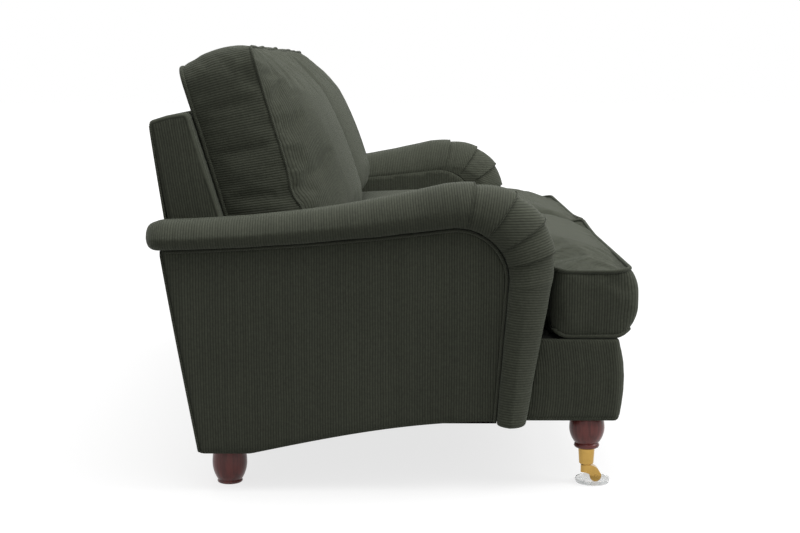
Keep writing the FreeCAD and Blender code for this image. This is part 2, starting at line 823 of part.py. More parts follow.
def back_cushion():
    """Plump back cushion that leans on the back and stands on the seat cushion."""
    lean = math.atan(pad_rake)
    up = V(0, math.sin(lean), math.cos(lean))
    out = V(0, -math.cos(lean), math.sin(lean))
    top = back_height + back_top_rise
    origin = V(0, pad_y(top), top)
    x_out = x_in - cushion_side_gap - cushion_side_swell
    x0 = soft_gap
    seat_top = deck_height + seat_rear_height
    foot = (seat_top - top) / math.cos(lean) - 90.0

    def section(u, low, high, crown, narrow):
        xa, xb = x0 + narrow, x_out - narrow

        def at(x, v):
            p = origin + up * u + out * (v + soft_gap)
            return V(x, p.y, p.z)

        edges = [
            Part.LineSegment(at(xa, low), at(xb, low)).toShape(),
            Part.Arc(at(xb, low), at(xb + cushion_side_swell, 0.5 * (low + high)), at(xb, high)).toShape(),
        ]
        ends = (xb, high), (xa, high)
        points = crown_points(*ends, crown, cushion_shoulder, cushion_shoulder_share, at)
        edges += crown_edges(points)
        edges.append(Part.LineSegment(at(xa, high), at(xa, low)).toShape())
        return Part.Wire(edges)

    sections = []
    count = 9
    height = cushion_rise - 10.0 - foot
    for i in range(count + 1):
        t = i / count
        u = foot + height * t
        narrow = cushion_draw_in * (1 - (2 * t - 1) ** 2)
        below = (cushion_rise - u) / cushion_round
        rise = cushion_crown * math.sin(0.5 * math.pi * below**0.62)
        sections.append(section(u, 0.0, cushion_boxing, cushion_boxing + rise, narrow))
    tops = (
        (cushion_rise + 3.0, 20.0, cushion_boxing - 3.0, cushion_boxing + 9.0, 4.0),
        (cushion_rise + 10.0, 48.0, cushion_boxing - 18.0, cushion_boxing - 12.0, 22.0),
        (cushion_rise + 13.0, 76.0, cushion_boxing - 42.0, cushion_boxing - 38.0, 60.0),
    )
    sections += [section(*row) for row in tops]
    body = Part.makeLoft(sections, True, True)

    # The underside lies on the seat cushion, which falls a little towards the rear.
    y_b = pad_y(deck_height) - seat_rear_gap
    y_a = y_b - cushion_rest
    y_c = y_b + 90.0
    z_a = deck_height + soft_gap * 2 + seat_profile(y_a)
    slope = (seat_profile(y_a + 1.0) - seat_profile(y_a)) * 1.05
    floor = [
        (y_a - 400.0, z_a - 400.0 * slope),
        (y_c + 100.0, z_a + (y_c + 100.0 - y_a) * slope),
        (y_c + 100.0, 0.0),
        (y_a - 400.0, 0.0),
    ]
    return body.cut(slab(floor, -1.0, x_in + 50.0))


def legs(parts):
    """Turned front legs and rear bun feet."""
    y = y_front_leg
    neck = leg_ring_height + 8.0
    start = (
        (spigot_radius, ferrule_bottom + ferrule_floor + 8.0),
        (spigot_radius, ferrule_top),
        (leg_ring_radius - 7.0, ferrule_top),
        (leg_ring_radius - 1.5, ferrule_top + 3.0),
        (leg_ring_radius, leg_ring_height),
        (leg_ring_radius - 1.0, leg_ring_height + 3.5),
        (leg_ring_radius - 2.5, neck - 2.5),
    )
    curve = (
        (0.5 * (leg_ring_radius + leg_radius) + 1.5, 0.5 * (neck + leg_widest) - 2.5),
        (leg_radius, leg_widest),
        (leg_radius - 0.8, leg_widest + 10.0),
    )
    finish = ((leg_radius - 4.0, base_bottom),)
    leg = round_turned(start, curve, finish, x_leg, y)
    leg = leg.cut(rod(bolt_radius, x_leg, y, base_bottom - bolt_depth, base_bottom + 1.0))
    both("front_leg", leg, parts)

    y = y_rear_leg
    start = (
        (foot_base_radius - 3.0, 0.0),
        (foot_base_radius - 1.0, 1.2),
        (foot_base_radius, 3.2),
        (foot_base_radius - 0.6, 5.2),
        (foot_neck_radius, 6.6),
    )
    curve = (
        (0.5 * (foot_neck_radius + foot_radius) + 1.4, 0.5 * foot_widest - 1.0),
        (foot_radius, foot_widest),
        (foot_radius - 1.3, foot_widest + 18.0),
    )
    finish = ((foot_radius - 6.5, rear_bottom),)
    foot = round_turned(start, curve, finish, x_leg, y)
    foot = foot.cut(rod(bolt_radius, x_leg, y, rear_bottom - bolt_depth, rear_bottom + 1.0))
    both("rear_foot", foot, parts)


def casters(parts):
    """Brass ferrule, stem, horn, axle and wheel, and the plastic cup under the wheel."""
    x, y = x_leg, y_front_leg
    floor_top = ferrule_bottom + ferrule_floor
    ferrule = turned(
        (
            (ferrule_bottom_radius - 0.8, ferrule_bottom),
            (ferrule_bottom_radius, ferrule_bottom + 0.8),
            (ferrule_top_radius, ferrule_top - 0.6),
            (ferrule_top_radius - 0.6, ferrule_top),
        ),
        x,
        y,
    )
    ferrule = ferrule.cut(rod(spigot_radius - 1.0, x, y, floor_top, floor_top + 8.0))
    ferrule = ferrule.cut(rod(spigot_radius, x, y, floor_top + 8.0, ferrule_top + 1.0))
    ferrule = ferrule.cut(rod(stem_radius + stem_clearance, x, y, ferrule_bottom - 1.0, floor_top))
    both("caster_ferrule", ferrule, parts)

    head = floor_top + soft_gap
    stem = rod(stem_radius, x, y, stem_foot, head + stem_head_height)
    stem = stem.fuse(rod(stem_head_radius, x, y, head, head + stem_head_height))
    stem = stem.fuse(rod(collar_radius, x, y, horn_top, ferrule_bottom - soft_gap))
    both("caster_stem", stem.removeSplitter(), parts)

    y_wheel = y - wheel_offset
    z = wheel_height
    half = horn_width / 2
    side = [
        V(0, y + horn_plate_radius, horn_top),
        V(0, y + horn_plate_radius, horn_underside),
        V(0, y + 5.0, horn_underside),
        V(0, y_wheel + cheek_radius, z),
        V(0, y_wheel - cheek_radius, z),
        V(0, y - 7.0, horn_top),
    ]
    edges = [
        Part.LineSegment(side[0], side[1]).toShape(),
        Part.LineSegment(side[1], side[2]).toShape(),
        Part.Arc(side[2], V(0, y - 5.0, z + 5.0), side[3]).toShape(),
        Part.Arc(side[3], V(0, y_wheel, z - cheek_radius), side[4]).toShape(),
        Part.Arc(side[4], V(0, y - 24.0, horn_top - 9.0), side[5]).toShape(),
        Part.LineSegment(side[5], side[0]).toShape(),
    ]
    face = Part.Face(Part.Wire(edges))
    face.translate(V(x - half, 0, 0))
    horn = face.extrude(V(horn_width, 0, 0))
    # Round the sides to the plate under the stem and hollow the fork round the wheel.
    plan = rod(horn_plate_radius, x, y, 0.0, horn_top)
    plan = plan.fuse(box(x - half + 1.0, x + half - 1.0, y_wheel - 14.0, y, 0.0, horn_top))
    horn = horn.common(plan)
    slot = wheel_width / 2 + wheel_side_gap
    fork = Part.makeCylinder(wheel_radius + 1.2, 2 * slot, V(x - slot, y_wheel, z), V(1, 0, 0))
    horn = horn.cut(fork)
    horn = horn.cut(box(x - slot, x + slot, y_wheel - 40.0, y_wheel + wheel_radius, 0.0, z))
    horn = horn.cut(rod(stem_radius, x, y, stem_foot, horn_top + 1.0))
    axis = V(1, 0, 0)
    horn = horn.cut(Part.makeCylinder(axle_radius, 60.0, V(x - 30.0, y_wheel, z), axis))
    both("caster_horn", horn, parts)

    length = horn_width - 2.0
    axle = Part.makeCylinder(axle_radius, length, V(x - length / 2, y_wheel, z), axis)
    for end in (-1, 1):
        x0 = x + end * length / 2
        axle = axle.fuse(
            Part.makeCylinder(axle_head_radius, axle_head, V(x0, y_wheel, z), axis * end)
        )
    both("caster_axle", axle.removeSplitter(), parts)

    tread = 1.6
    rim = [
        V(x - wheel_width / 2, y_wheel, z + axle_radius + axle_clearance),
        V(x - wheel_width / 2, y_wheel, z + wheel_radius - tread),
        V(x - wheel_width / 2 + tread, y_wheel, z + wheel_radius),
        V(x + wheel_width / 2 - tread, y_wheel, z + wheel_radius),
        V(x + wheel_width / 2, y_wheel, z + wheel_radius - tread),
        V(x + wheel_width / 2, y_wheel, z + axle_radius + axle_clearance),
    ]
    face = Part.Face(Part.makePolygon(rim + rim[:1]))
    wheel = face.revolve(V(x, y_wheel, z), axis, 360)
    both("caster_wheel", wheel, parts)

    y_cup = y - cup_offset
    outside = turned(
        (
            (cup_radius - cup_cone - 1.0, 0.0),
            (cup_radius - cup_cone, 1.0),
            (cup_radius, cup_height),
        ),
        x,
        y_cup,
    )
    inside = turned(
        (
            (cup_radius - cup_cone - cup_wall, cup_floor),
            (cup_radius - cup_wall, cup_height + 0.01),
        ),
        x,
        y_cup,
    )
    both("caster_cup", outside.cut(inside), parts)


def main():
    parts = {}
    roll = arms(parts)
    back(parts, roll)
    base(parts, roll)
    both("seat_cushion", seat_cushion(), parts)
    both("back_cushion", back_cushion(), parts)
    legs(parts)
    casters(parts)
    os.makedirs("parts", exist_ok=True)
    for name, shape in sorted(parts.items()):
        solids = shape.Solids
        if not solids or not shape.isValid():
            raise ValueError(name + " is not a closed solid")
        if len(solids) == 1:
            shape = solids[0]
        shape.exportStep(os.path.join("parts", name + ".step"))
        size = shape.BoundBox
        print(
            f"{name}: {len(solids)} solid, {size.XLength:.1f} x {size.YLength:.1f} x "
            f"{size.ZLength:.1f}, volume {shape.Volume / 1e6:.3f} l"
        )
    print(len(parts), "nodes")


main()
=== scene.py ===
"""English roll arm sofa: covers, cushions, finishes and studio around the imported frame.

The lines of the covers are worked out in millimetres, as the frame's are, and every mesh is written
in metres. X runs across the sofa, the front faces -Y and Z is up. A covered piece is worked out at
+X and turned over for the other side. Each cover has a UV map called cloth: its first number runs
across the ribs of the corduroy and its second along them.
"""

import bmesh
import bpy
import math
import numpy as np
from mathutils import Matrix, Vector, noise
from mathutils.geometry import delaunay_2d_cdt


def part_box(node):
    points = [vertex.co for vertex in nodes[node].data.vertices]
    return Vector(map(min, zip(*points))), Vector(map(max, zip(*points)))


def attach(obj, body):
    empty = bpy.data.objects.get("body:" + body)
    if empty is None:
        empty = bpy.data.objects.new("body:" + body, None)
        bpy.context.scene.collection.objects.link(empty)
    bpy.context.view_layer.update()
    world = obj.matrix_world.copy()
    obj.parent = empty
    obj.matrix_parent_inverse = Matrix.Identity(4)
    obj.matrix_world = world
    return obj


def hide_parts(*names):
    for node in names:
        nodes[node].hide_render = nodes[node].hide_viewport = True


bl_info = {
    "name": "English roll arm sofa",
    "version": (1, 0, 0),
    "blender": (4, 5, 0),
    "location": "View3D > Sidebar > Sofa",
    "description": "Builds the covers, cushions, finishes and studio of a roll arm sofa",
    "category": "Object",
}

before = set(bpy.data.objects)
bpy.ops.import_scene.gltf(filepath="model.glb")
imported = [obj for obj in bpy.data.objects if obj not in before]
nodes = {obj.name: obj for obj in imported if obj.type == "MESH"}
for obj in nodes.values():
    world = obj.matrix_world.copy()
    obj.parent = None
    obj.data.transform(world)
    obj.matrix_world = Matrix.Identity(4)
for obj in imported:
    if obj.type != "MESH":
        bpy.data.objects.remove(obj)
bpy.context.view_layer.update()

MM = 0.001
SIDES = (("right", 1), ("left", -1))

# Frame sizes
Y_FRONT = -492.0
Y_REAR = 492.0
X_IN = 750.0
X_WELT = 900.0
X_ROLL = 935.0
X_CREST = 860.0
X_BASE = 860.0
X_RAIL = 852.0
X_FRAME = 882.0
X_BACK = 780.0
Y_BORDER = -465.0
Y_LIP = -437.0
DECK_TOP = 305.0
BASE_BOTTOM = 138.0
REAR_BOTTOM = 80.0
BACK_HEIGHT = 737.0
BACK_EDGE = 728.0
PAD_TOP = 757.0
PAD_DEPTH = 75.0
BACK_RAKE = 0.153
PAD_RAKE = 0.30
REAR_SWELL = 8.0

# Arms
CORNER_Y = -122.0
CORNER_Z = 428.0
CORNER_RADIUS = 105.0
CORNER_START = -7.0
CORNER_END = 94.5
REAR_WELT_Z = 490.0
COLUMN_BOTTOM = 146.0
COLUMN_LEAN = math.tan(math.radians(CORNER_END - 90.0))
COLUMN_GAP = 2.5
REAR_RISE = 52.0
FRONT_RISE = 84.0
END_RISE = 83.0
FOOT_RISE = 56.0
ROLL_END = 41.2
ROLL_SQUARE = 0.08
COLUMN_SQUARE = 0.6
FOLDS = ((10.8, 88.0), (35.0, 103.0), (56.0, 108.0), (74.0, 99.0))
RIB_LEANS = (10.8, 90.0, 74.0, 84.0)
CORNER_STEPS = 26

# Border of the base: how far it lies behind its fullest line, as (height, depth) points
BORDER_FRONT = (
    (138.0, 18.0),
    (140.0, 13.5),
    (144.0, 10.5),
    (150.0, 8.0),
    (170.0, 4.2),
    (198.0, 1.1),
    (226.5, 0.0),
    (255.0, 2.2),
    (280.0, 7.2),
    (299.0, 14.0),
    (303.0, 16.5),
    (305.0, 20.0),
)
BORDER_SIDE = (
    (138.0, 5.5),
    (140.0, 2.6),
    (144.0, 0.9),
    (150.0, 0.3),
    (295.0, 0.3),
    (302.0, 1.6),
    (305.0, 5.0),
)
BORDER_CORNER = 24.0
HEM_Z = 145.8

# Seat cushions, with heights over their underside
CUSHION_EDGE = 5.0
SEAT_BOTTOM = 305.3
SEAT_REST = 0.4
SEAT_FRONT = -474.0
SEAT_BACK = 270.0
SEAT_SIDE = 740.5
EAR_SIDE = 853.0
EAR_BACK = -321.0
SEAT_SEAM = 135.0
SEAM_RISE = 13.0
SEAM_DROP = 14.0
LOWER_SEAM = 4.7
SEAT_CROWN = 187.0
CROWN_Y = -250.0

# Back cushions, measured up the leaning back and out from it
BACK_LEAN = math.atan(PAD_RAKE)
BACK_SIDE = 738.0
BACK_PANEL = 430.0
BACK_TOP = 88.0
BACK_FOOT = -305.6
FOOT_SLOPE = 0.2326
REAR_SEAM = 5.0
BOXING = 154.0
BACK_CROWN = 101.0
FOLD_FOOT = (BACK_SIDE, 99.0)
FOLD_WAY = (-0.63, 0.78)

# Filling
FILL_FRAMES = 20
SEAT_SWELL = 12.0
BACK_SWELL = 16.0

# Studio
CAMERA_PLACE = (-3.8126, -0.028, 0.8465)
CAMERA_DOWN = 7.613
CAMERA_YAW = 0.303
CAMERA_LENS = 67.5
WORLD_LIGHT = 0.44
LIGHTS = (
    ("overhead", (-0.4, -0.3, 3.6), (0.0, 0.0, 0.4), 4.2, 4.2, 118.0),
    ("front", (-1.0, -3.8, 2.4), (0.0, -0.2, 0.5), 2.4, 1.8, 66.0),
)
FLOOR_REACH = 30.0
FLOOR_GLOW = 0.76
GLOW_NEAR = 1.2
GLOW_FAR = 6.0


class SofaSizes(bpy.types.PropertyGroup):
    rib_width: bpy.props.FloatProperty(
        name="Rib width", description="From one corduroy rib to the next", default=0.0052, unit="LENGTH"
    )
    mesh_step: bpy.props.FloatProperty(
        name="Mesh step", description="Length of a face on a cushion", default=0.011, unit="LENGTH"
    )
    fold_lift: bpy.props.FloatProperty(
        name="Fold lift", description="Height of a pleat's edge over the next", default=0.006, unit="LENGTH"
    )
    arm_piping: bpy.props.FloatProperty(
        name="Arm piping", description="Radius of the piping on the arms", default=0.0035, unit="LENGTH"
    )
    cushion_piping: bpy.props.FloatProperty(
        name="Cushion piping",
        description="Radius of the piping on the cushions",
        default=0.004,
        unit="LENGTH",
    )
    stuffing: bpy.props.FloatProperty(
        name="Stuffing", description="Air pressure that fills the cushions", default=3.0
    )
    slack: bpy.props.FloatProperty(
        name="Slack", description="Share by which a cushion cover is larger than its seams", default=0.022
    )
    staple_gap: bpy.props.FloatProperty(
        name="Staple gap", description="From one staple to the next", default=0.055, unit="LENGTH"
    )


def colour_property(name, description, default):
    """A colour that a user would change."""
    return bpy.props.FloatVectorProperty(
        name=name, description=description, default=default, size=3, subtype="COLOR", min=0.0, max=1.0
    )


class SofaColours(bpy.types.PropertyGroup):
    rib: colour_property("Rib", "Raised pile of the corduroy", (0.062, 0.067, 0.049))
    # Furrow colour: partly the bare ground cloth between the ribs, partly painted shade in the furrows
    shaded_furrow: colour_property("Shaded furrow", "Ground between the ribs", (0.026, 0.029, 0.020))
    deck: colour_property("Deck", "Plain cloth under the cushions", (0.030, 0.031, 0.027))
    dust: colour_property("Dust cover", "Cloth under the frame", (0.016, 0.016, 0.017))
    turned: colour_property("Turned wood", "Stained legs and feet", (0.165, 0.034, 0.028))
    pine: colour_property("Frame wood", "Softwood of the frame", (0.46, 0.31, 0.17))
    brass: colour_property("Brass", "Casters and ferrules", (0.50, 0.31, 0.085))
    steel: colour_property("Steel", "Springs, clips and nuts", (0.42, 0.42, 0.43))
    webbing: colour_property("Webbing", "Straps inside the back", (0.075, 0.070, 0.062))
    floor: colour_property("Floor", "Floor and backdrop", (0.34, 0.34, 0.34))


def sizes():
    """The sizes set in the panel."""
    return bpy.context.scene.sofa_sizes


def colours():
    """The colours set in the panel."""
    return bpy.context.scene.sofa_colours


# Lines of the frame


def rear_y(z):
    """Outside surface of the back at a height."""
    return Y_REAR - BACK_RAKE * (BACK_HEIGHT - z)


def pad_y(z):
    """Inside surface of the back at a height."""
    return Y_REAR - PAD_DEPTH - PAD_RAKE * (PAD_TOP - z)


def frame_y(z):
    """Rear face of the wooden frame at a height."""
    return rear_y(z) - 6.0


def on_corner(degrees, reach=CORNER_RADIUS):
    """Place and outward direction on the round front corner of the arm."""
    a = math.radians(degrees)
    return (
        CORNER_Y - reach * math.sin(a),
        CORNER_Z + reach * math.cos(a),
        -math.sin(a),
        math.cos(a),
    )


def top_arc():
    """Centre, radius, first and last angle of the line along the top of the arm."""
    y1, z1, ny, nz = on_corner(CORNER_START)
    y0 = frame_y(REAR_WELT_Z)
    dy = y0 - y1
    dz = REAR_WELT_Z - z1
    radius = (dy * dy + dz * dz) / (2 * (dy * ny + dz * nz))
    cy = y1 + radius * ny
    cz = z1 + radius * nz
    first = math.atan2(y0 - cy, cz - REAR_WELT_Z)
    last = math.atan2(y1 - cy, cz - z1)
    return cy, cz, radius, first, last


def rear_fullness(z):
    """How far the covers swell behind the frame's rear line, at a height."""
    return REAR_SWELL * np.sin(math.pi * np.clip((z - REAR_BOTTOM) / 900.0, 0, 1))


def column_place(z):
    """Depth of the crease down the front of the arm, at a height."""
    y, top, _, _ = on_corner(CORNER_END)
    return y + COLUMN_LEAN * (top - z)


def column_front(z):
    """Depth of the front of the arm at a height."""
    top = on_corner(CORNER_END)[1]
    t = (top - z) / (top - COLUMN_BOTTOM)
    rise = END_RISE + (FOOT_RISE - END_RISE) * t
    return column_place(z) - rise


def crease(inset=0.0):
    """Points (depth, height) along the crease where the roll meets the outer panel."""
    cy, cz, radius, first, last = top_arc()
    points = []
    for i in range(61):
        a = first + (last - first) * i / 60
        reach = radius + inset
        points.append((cy + reach * math.sin(a), cz - reach * math.cos(a)))
    for i in range(1, 52):
        degrees = CORNER_START + (CORNER_END - CORNER_START) * i / 51
        points.append(on_corner(degrees, CORNER_RADIUS - inset)[:2])
    y, z = points[-1]
    for i in range(1, 31):
        t = i / 30
        lower = z + (COLUMN_BOTTOM - z) * t
        points.append((y + COLUMN_LEAN * (z - lower), lower))
    return points


def arch():
    """The line under the arm, from the foot of its front to the rear."""
    y_foot = column_place(COLUMN_BOTTOM)
    y_level = 286.0
    points = []
    for i in range(41):
        t = 1 - i / 40
        z = REAR_BOTTOM + (COLUMN_BOTTOM - REAR_BOTTOM) * math.sin(0.5 * math.pi * t)
        points.append((y_level + (y_foot - y_level) * t, z))
    y_end = frame_y(REAR_BOTTOM)
    for i in range(1, 17):
        points.append((y_level + (y_end - y_level) * i / 16, REAR_BOTTOM))
    return points


def three_point_arc(a, b, c, count):
    """Points from a to c on the circle through a, b and c, without the last one."""
    ax, ay = a
    bx, by = b
    cx, cy = c
    d = 2 * (ax * (by - cy) + bx * (cy - ay) + cx * (ay - by))
    ux = ((ax**2 + ay**2) * (by - cy) + (bx**2 + by**2) * (cy - ay) + (cx**2 + cy**2) * (ay - by)) / d
    uy = ((ax**2 + ay**2) * (cx - bx) + (bx**2 + by**2) * (ax - cx) + (cx**2 + cy**2) * (bx - ax)) / d
    start = math.atan2(ay - uy, ax - ux)
    middle = (math.atan2(by - uy, bx - ux) - start) % (2 * math.pi)
    sweep = (math.atan2(cy - uy, cx - ux) - start) % (2 * math.pi)
    if middle > sweep:
        sweep -= 2 * math.pi
    radius = math.hypot(ax - ux, ay - uy)
    angles = [start + sweep * i / count for i in range(count)]
    return [(ux + radius * math.cos(t), uy + radius * math.sin(t)) for t in angles]


# Covers


def lumps(points, scale, depth, seed=0.0):
    """Soft unevenness of stuffing, the same in every run."""
    shift = Vector((seed * 3.7, seed * 1.3, seed * 7.1))
    return np.array([depth * noise.noise(Vector(p) / scale + shift) for p in points])


def in_scene(name, data):
    """A new object in the scene."""
    piece = bpy.data.objects.new(name, data)
    bpy.context.scene.collection.objects.link(piece)
    return piece


def read_places(mesh):
    """Places of a mesh's points."""
    places = np.empty(len(mesh.vertices) * 3)
    mesh.vertices.foreach_get("co", places)
    return places.reshape(-1, 3)


def write_places(mesh, places):
    """Moves a mesh's points to new places."""
    mesh.vertices.foreach_set("co", places.ravel())
    mesh.update()


def distances_along(outline, count):
    """Distance of each point along an outline whose points are an even step apart."""
    return np.arange(count) * np.linalg.norm(outline[1] - outline[0])


def across_at(x, section):
    """Points of a (depth, height) section at a place across the sofa."""
    return np.column_stack([np.full(len(section), x), section])


class Cover:
    """Cloth faces, with their points and the place of each point on the cloth, in millimetres."""

    def __init__(self):
        self.points = []
        self.cloth = []
        self.faces = []
        self.count = 0

    def add(self, points, cloth, faces):
        """Adds faces that number their own points from nought. Returns the first number used."""
        first = self.count
        self.points.append(np.asarray(points, float))
        self.cloth.append(np.asarray(cloth, float))
        self.faces.extend([[i + first for i in f] for f in faces])
        self.count += len(points)
        return first

    def grid(self, places, cloth):
        """Adds rows of points joined by four-sided faces."""
        rows, columns = places.shape[:2]
        index = np.arange(rows * columns).reshape(rows, columns)
        quads = np.stack([index[:-1, :-1], index[1:, :-1], index[1:, 1:], index[:-1, 1:]], -1)
        self.add(places.reshape(-1, 3), cloth.reshape(-1, 2), quads.reshape(-1, 4).tolist())

    def build(self, name, material, side=1, closed=True):
        """The finished object. Doubled points are merged and faces turned outwards."""
        points = np.concatenate(self.points) * MM
        points[:, 0] *= side
        mesh = bpy.data.meshes.new(name)
        mesh.from_pydata(points.tolist(), [], self.faces)
        layer = mesh.uv_layers.new(name="cloth")
        corners = np.empty(len(mesh.loops), dtype=np.int32)
        mesh.loops.foreach_get("vertex_index", corners)
        layer.data.foreach_set("uv", (np.concatenate(self.cloth) * MM)[corners].ravel())
        work = bmesh.new()
        work.from_mesh(mesh)
        bmesh.ops.remove_doubles(work, verts=work.verts, dist=0.05 * MM)
        bmesh.ops.dissolve_degenerate(work, edges=work.edges, dist=1e-6)
        if closed:
            bmesh.ops.recalc_face_normals(work, faces=work.faces)
        work.to_mesh(mesh)
        work.free()
        mesh.polygons.foreach_set("use_smooth", [True] * len(mesh.polygons))
        mesh.materials.append(material)
        return in_scene(name, mesh)


def rounded_outline(corners, step):
    """Closed outline through (x, y, radius) corners, with points an even step apart."""
    line = []
    count = len(corners)
    for i, (x, y, r) in enumerate(corners):
        here = np.array((x, y))
        before = np.array(corners[i - 1][:2]) - here
        after = np.array(corners[(i + 1) % count][:2]) - here
        before = before / np.linalg.norm(before)
        after = after / np.linalg.norm(after)
        half = 0.5 * math.acos(max(-1.0, min(1.0, float(before @ after))))
        if r <= 0 or half > 1.5:
            line.append(here)
            continue
        reach = r / math.tan(half)
        middle = (before + after) / np.linalg.norm(before + after)
        centre = here + middle * r / math.sin(half)
        a = here + before * reach - centre
        b = here + after * reach - centre
        for t in np.linspace(0, 1, 9):
            ray = a * (1 - t) + b * t
            line.append(centre + r * ray / np.linalg.norm(ray))
    return even_loop(np.array(line), step)


def even_loop(line, step):
    """The same closed line with points an even step apart."""
    closed = np.vstack([line, line[:1]])
    along = np.concatenate([[0], np.cumsum(np.linalg.norm(np.diff(closed, axis=0), axis=1))])
    count = max(8, int(round(along[-1] / step)))
    places = np.linspace(0, along[-1], count, endpoint=False)
    return np.stack([np.interp(places, along, closed[:, k]) for k in range(closed.shape[1])], 1)


def edge_distance(points, outline):
    """Distance from each point to a closed outline."""
    ways = np.roll(outline, -1, 0) - outline
    best = np.full(len(points), 1e9)
    for start, way in zip(outline, ways):
        rel = points - start
        t = np.clip(rel @ way / max(1e-9, way @ way), 0, 1)
        best = np.minimum(best, np.linalg.norm(rel - t[:, None] * way, axis=1))
    return best


def inside(points, outline):
    """Whether each point lies inside a closed outline."""
    found = np.zeros(len(points), bool)
    for (x0, y0), (x1, y1) in zip(outline, np.roll(outline, -1, 0)):
        if y0 == y1:
            continue
        over = (y0 > points[:, 1]) != (y1 > points[:, 1])
        x = x0 + (points[:, 1] - y0) * (x1 - x0) / (y1 - y0)
        found ^= over & (points[:, 0] < x)
    return found


def outward_of(outline):
    """Outward direction at each point of a closed outline."""
    way = np.roll(outline, -1, 0) - np.roll(outline, 1, 0)
    way /= np.linalg.norm(way, axis=1)[:, None]
    normal = np.stack([way[:, 1], -way[:, 0]], 1)
    test = outline + normal * 2.0
    if np.mean(inside(test, outline)) > 0.5:
        normal = -normal
    return normal


def fill_outline(outline, step):
    """Points over an outline, its own first, and the triangles between them."""
    low = outline.min(0)
    high = outline.max(0)
    rows = np.arange(low[1] + 0.5 * step, high[1], 0.87 * step)
    inner = []
    for i, y in enumerate(rows):
        xs = np.arange(low[0] + (0.5 if i % 2 else 1.0) * step, high[0], step)
        inner.append(np.stack([xs, np.full(len(xs), y)], 1))
    inner = np.concatenate(inner)
    inner = inner[inside(inner, outline)]
    inner = inner[edge_distance(inner, outline) > 0.62 * step]
    points = np.vstack([outline, inner])
    count = len(outline)
    edges = [(i, (i + 1) % count) for i in range(count)]
    found = delaunay_2d_cdt([Vector(p) for p in points], edges, [], 1, 1e-5)
    if not all(found[3]):
        raise RuntimeError("an outline crosses itself")
    own = [first[0] for first in found[3]]
    return points, [[own[i] for i in f] for f in found[2]]


def padded_panel(cover, outline, place, thickness, puff, reach, step, rounding=2.5):
    """A padded panel: its show side swells from the edge, with a plain back and walls."""
    points, triangles = fill_outline(outline, step)
    distance = edge_distance(points, outline)
    lift = puff * (1 - np.exp(-((distance / reach) ** 1.4))) - rounding * np.exp(-distance / 4.0)
    uneven = lumps(np.column_stack([points, distance]), 60.0, 0.35 * puff)
    lift += uneven * np.clip(distance / reach, 0, 1)
    show = place(points[:, 0], points[:, 1], lift)
    back = place(points[:, 0], points[:, 1], np.full(len(points), -thickness))
    cover.add(show, points, triangles)
    cover.add(back, points, [f[::-1] for f in triangles])
    count = len(outline)
    along = np.arange(count + 1) * step
    ring = np.r_[0:count, 0]
    rows = np.stack([show[ring], 0.5 * (show[ring] + back[ring]), back[ring]])
    across = np.stack([np.stack([along, np.full(count + 1, k * thickness / 2)], 1) for k in range(3)])
    cover.grid(rows, across)


# Node trees


def add_node(tree, kind, inputs=None, **settings):
    """A node with its settings, and its inputs linked or set."""
    node = tree.nodes.new(kind)
    for key, value in settings.items():
        setattr(node, key, value)
    for key, value in (inputs or {}).items():
        socket = node.inputs[key]
        if isinstance(value, bpy.types.NodeSocket):
            tree.links.new(value, socket)
        else:
            socket.default_value = value
    return node


def maths(tree, operation, a, b=0.0, c=0.0):
    """Result of a sum on two or three numbers or sockets."""
    return add_node(tree, "ShaderNodeMath", {0: a, 1: b, 2: c}, operation=operation).outputs[0]


def new_group(name, kind, inputs, outputs):
    """A node group with named inputs and outputs, and its two end nodes."""
    tree = bpy.data.node_groups.new(name, kind)
    for label, socket, default in inputs:
        item = tree.interface.new_socket(label, in_out="INPUT", socket_type=socket)
        if default is not None:
            item.default_value = default
    for label, socket in outputs:
        tree.interface.new_socket(label, in_out="OUTPUT", socket_type=socket)
    start = tree.nodes.new("NodeGroupInput")
    end = tree.nodes.new("NodeGroupOutput")
    return tree, start, end


def noise_value(tree, vector, scale, detail=2.0, roughness=0.5):
    """Noise from nought to one at a place."""
    inputs = {"Vector": vector, "Scale": scale, "Detail": detail, "Roughness": roughness}
    return add_node(tree, "ShaderNodeTexNoise", inputs).outputs[0]


def swing(tree, value, amount):
    """A noise value turned into a swing about nought."""
    return maths(tree, "MULTIPLY", maths(tree, "SUBTRACT", value, 0.5), amount)


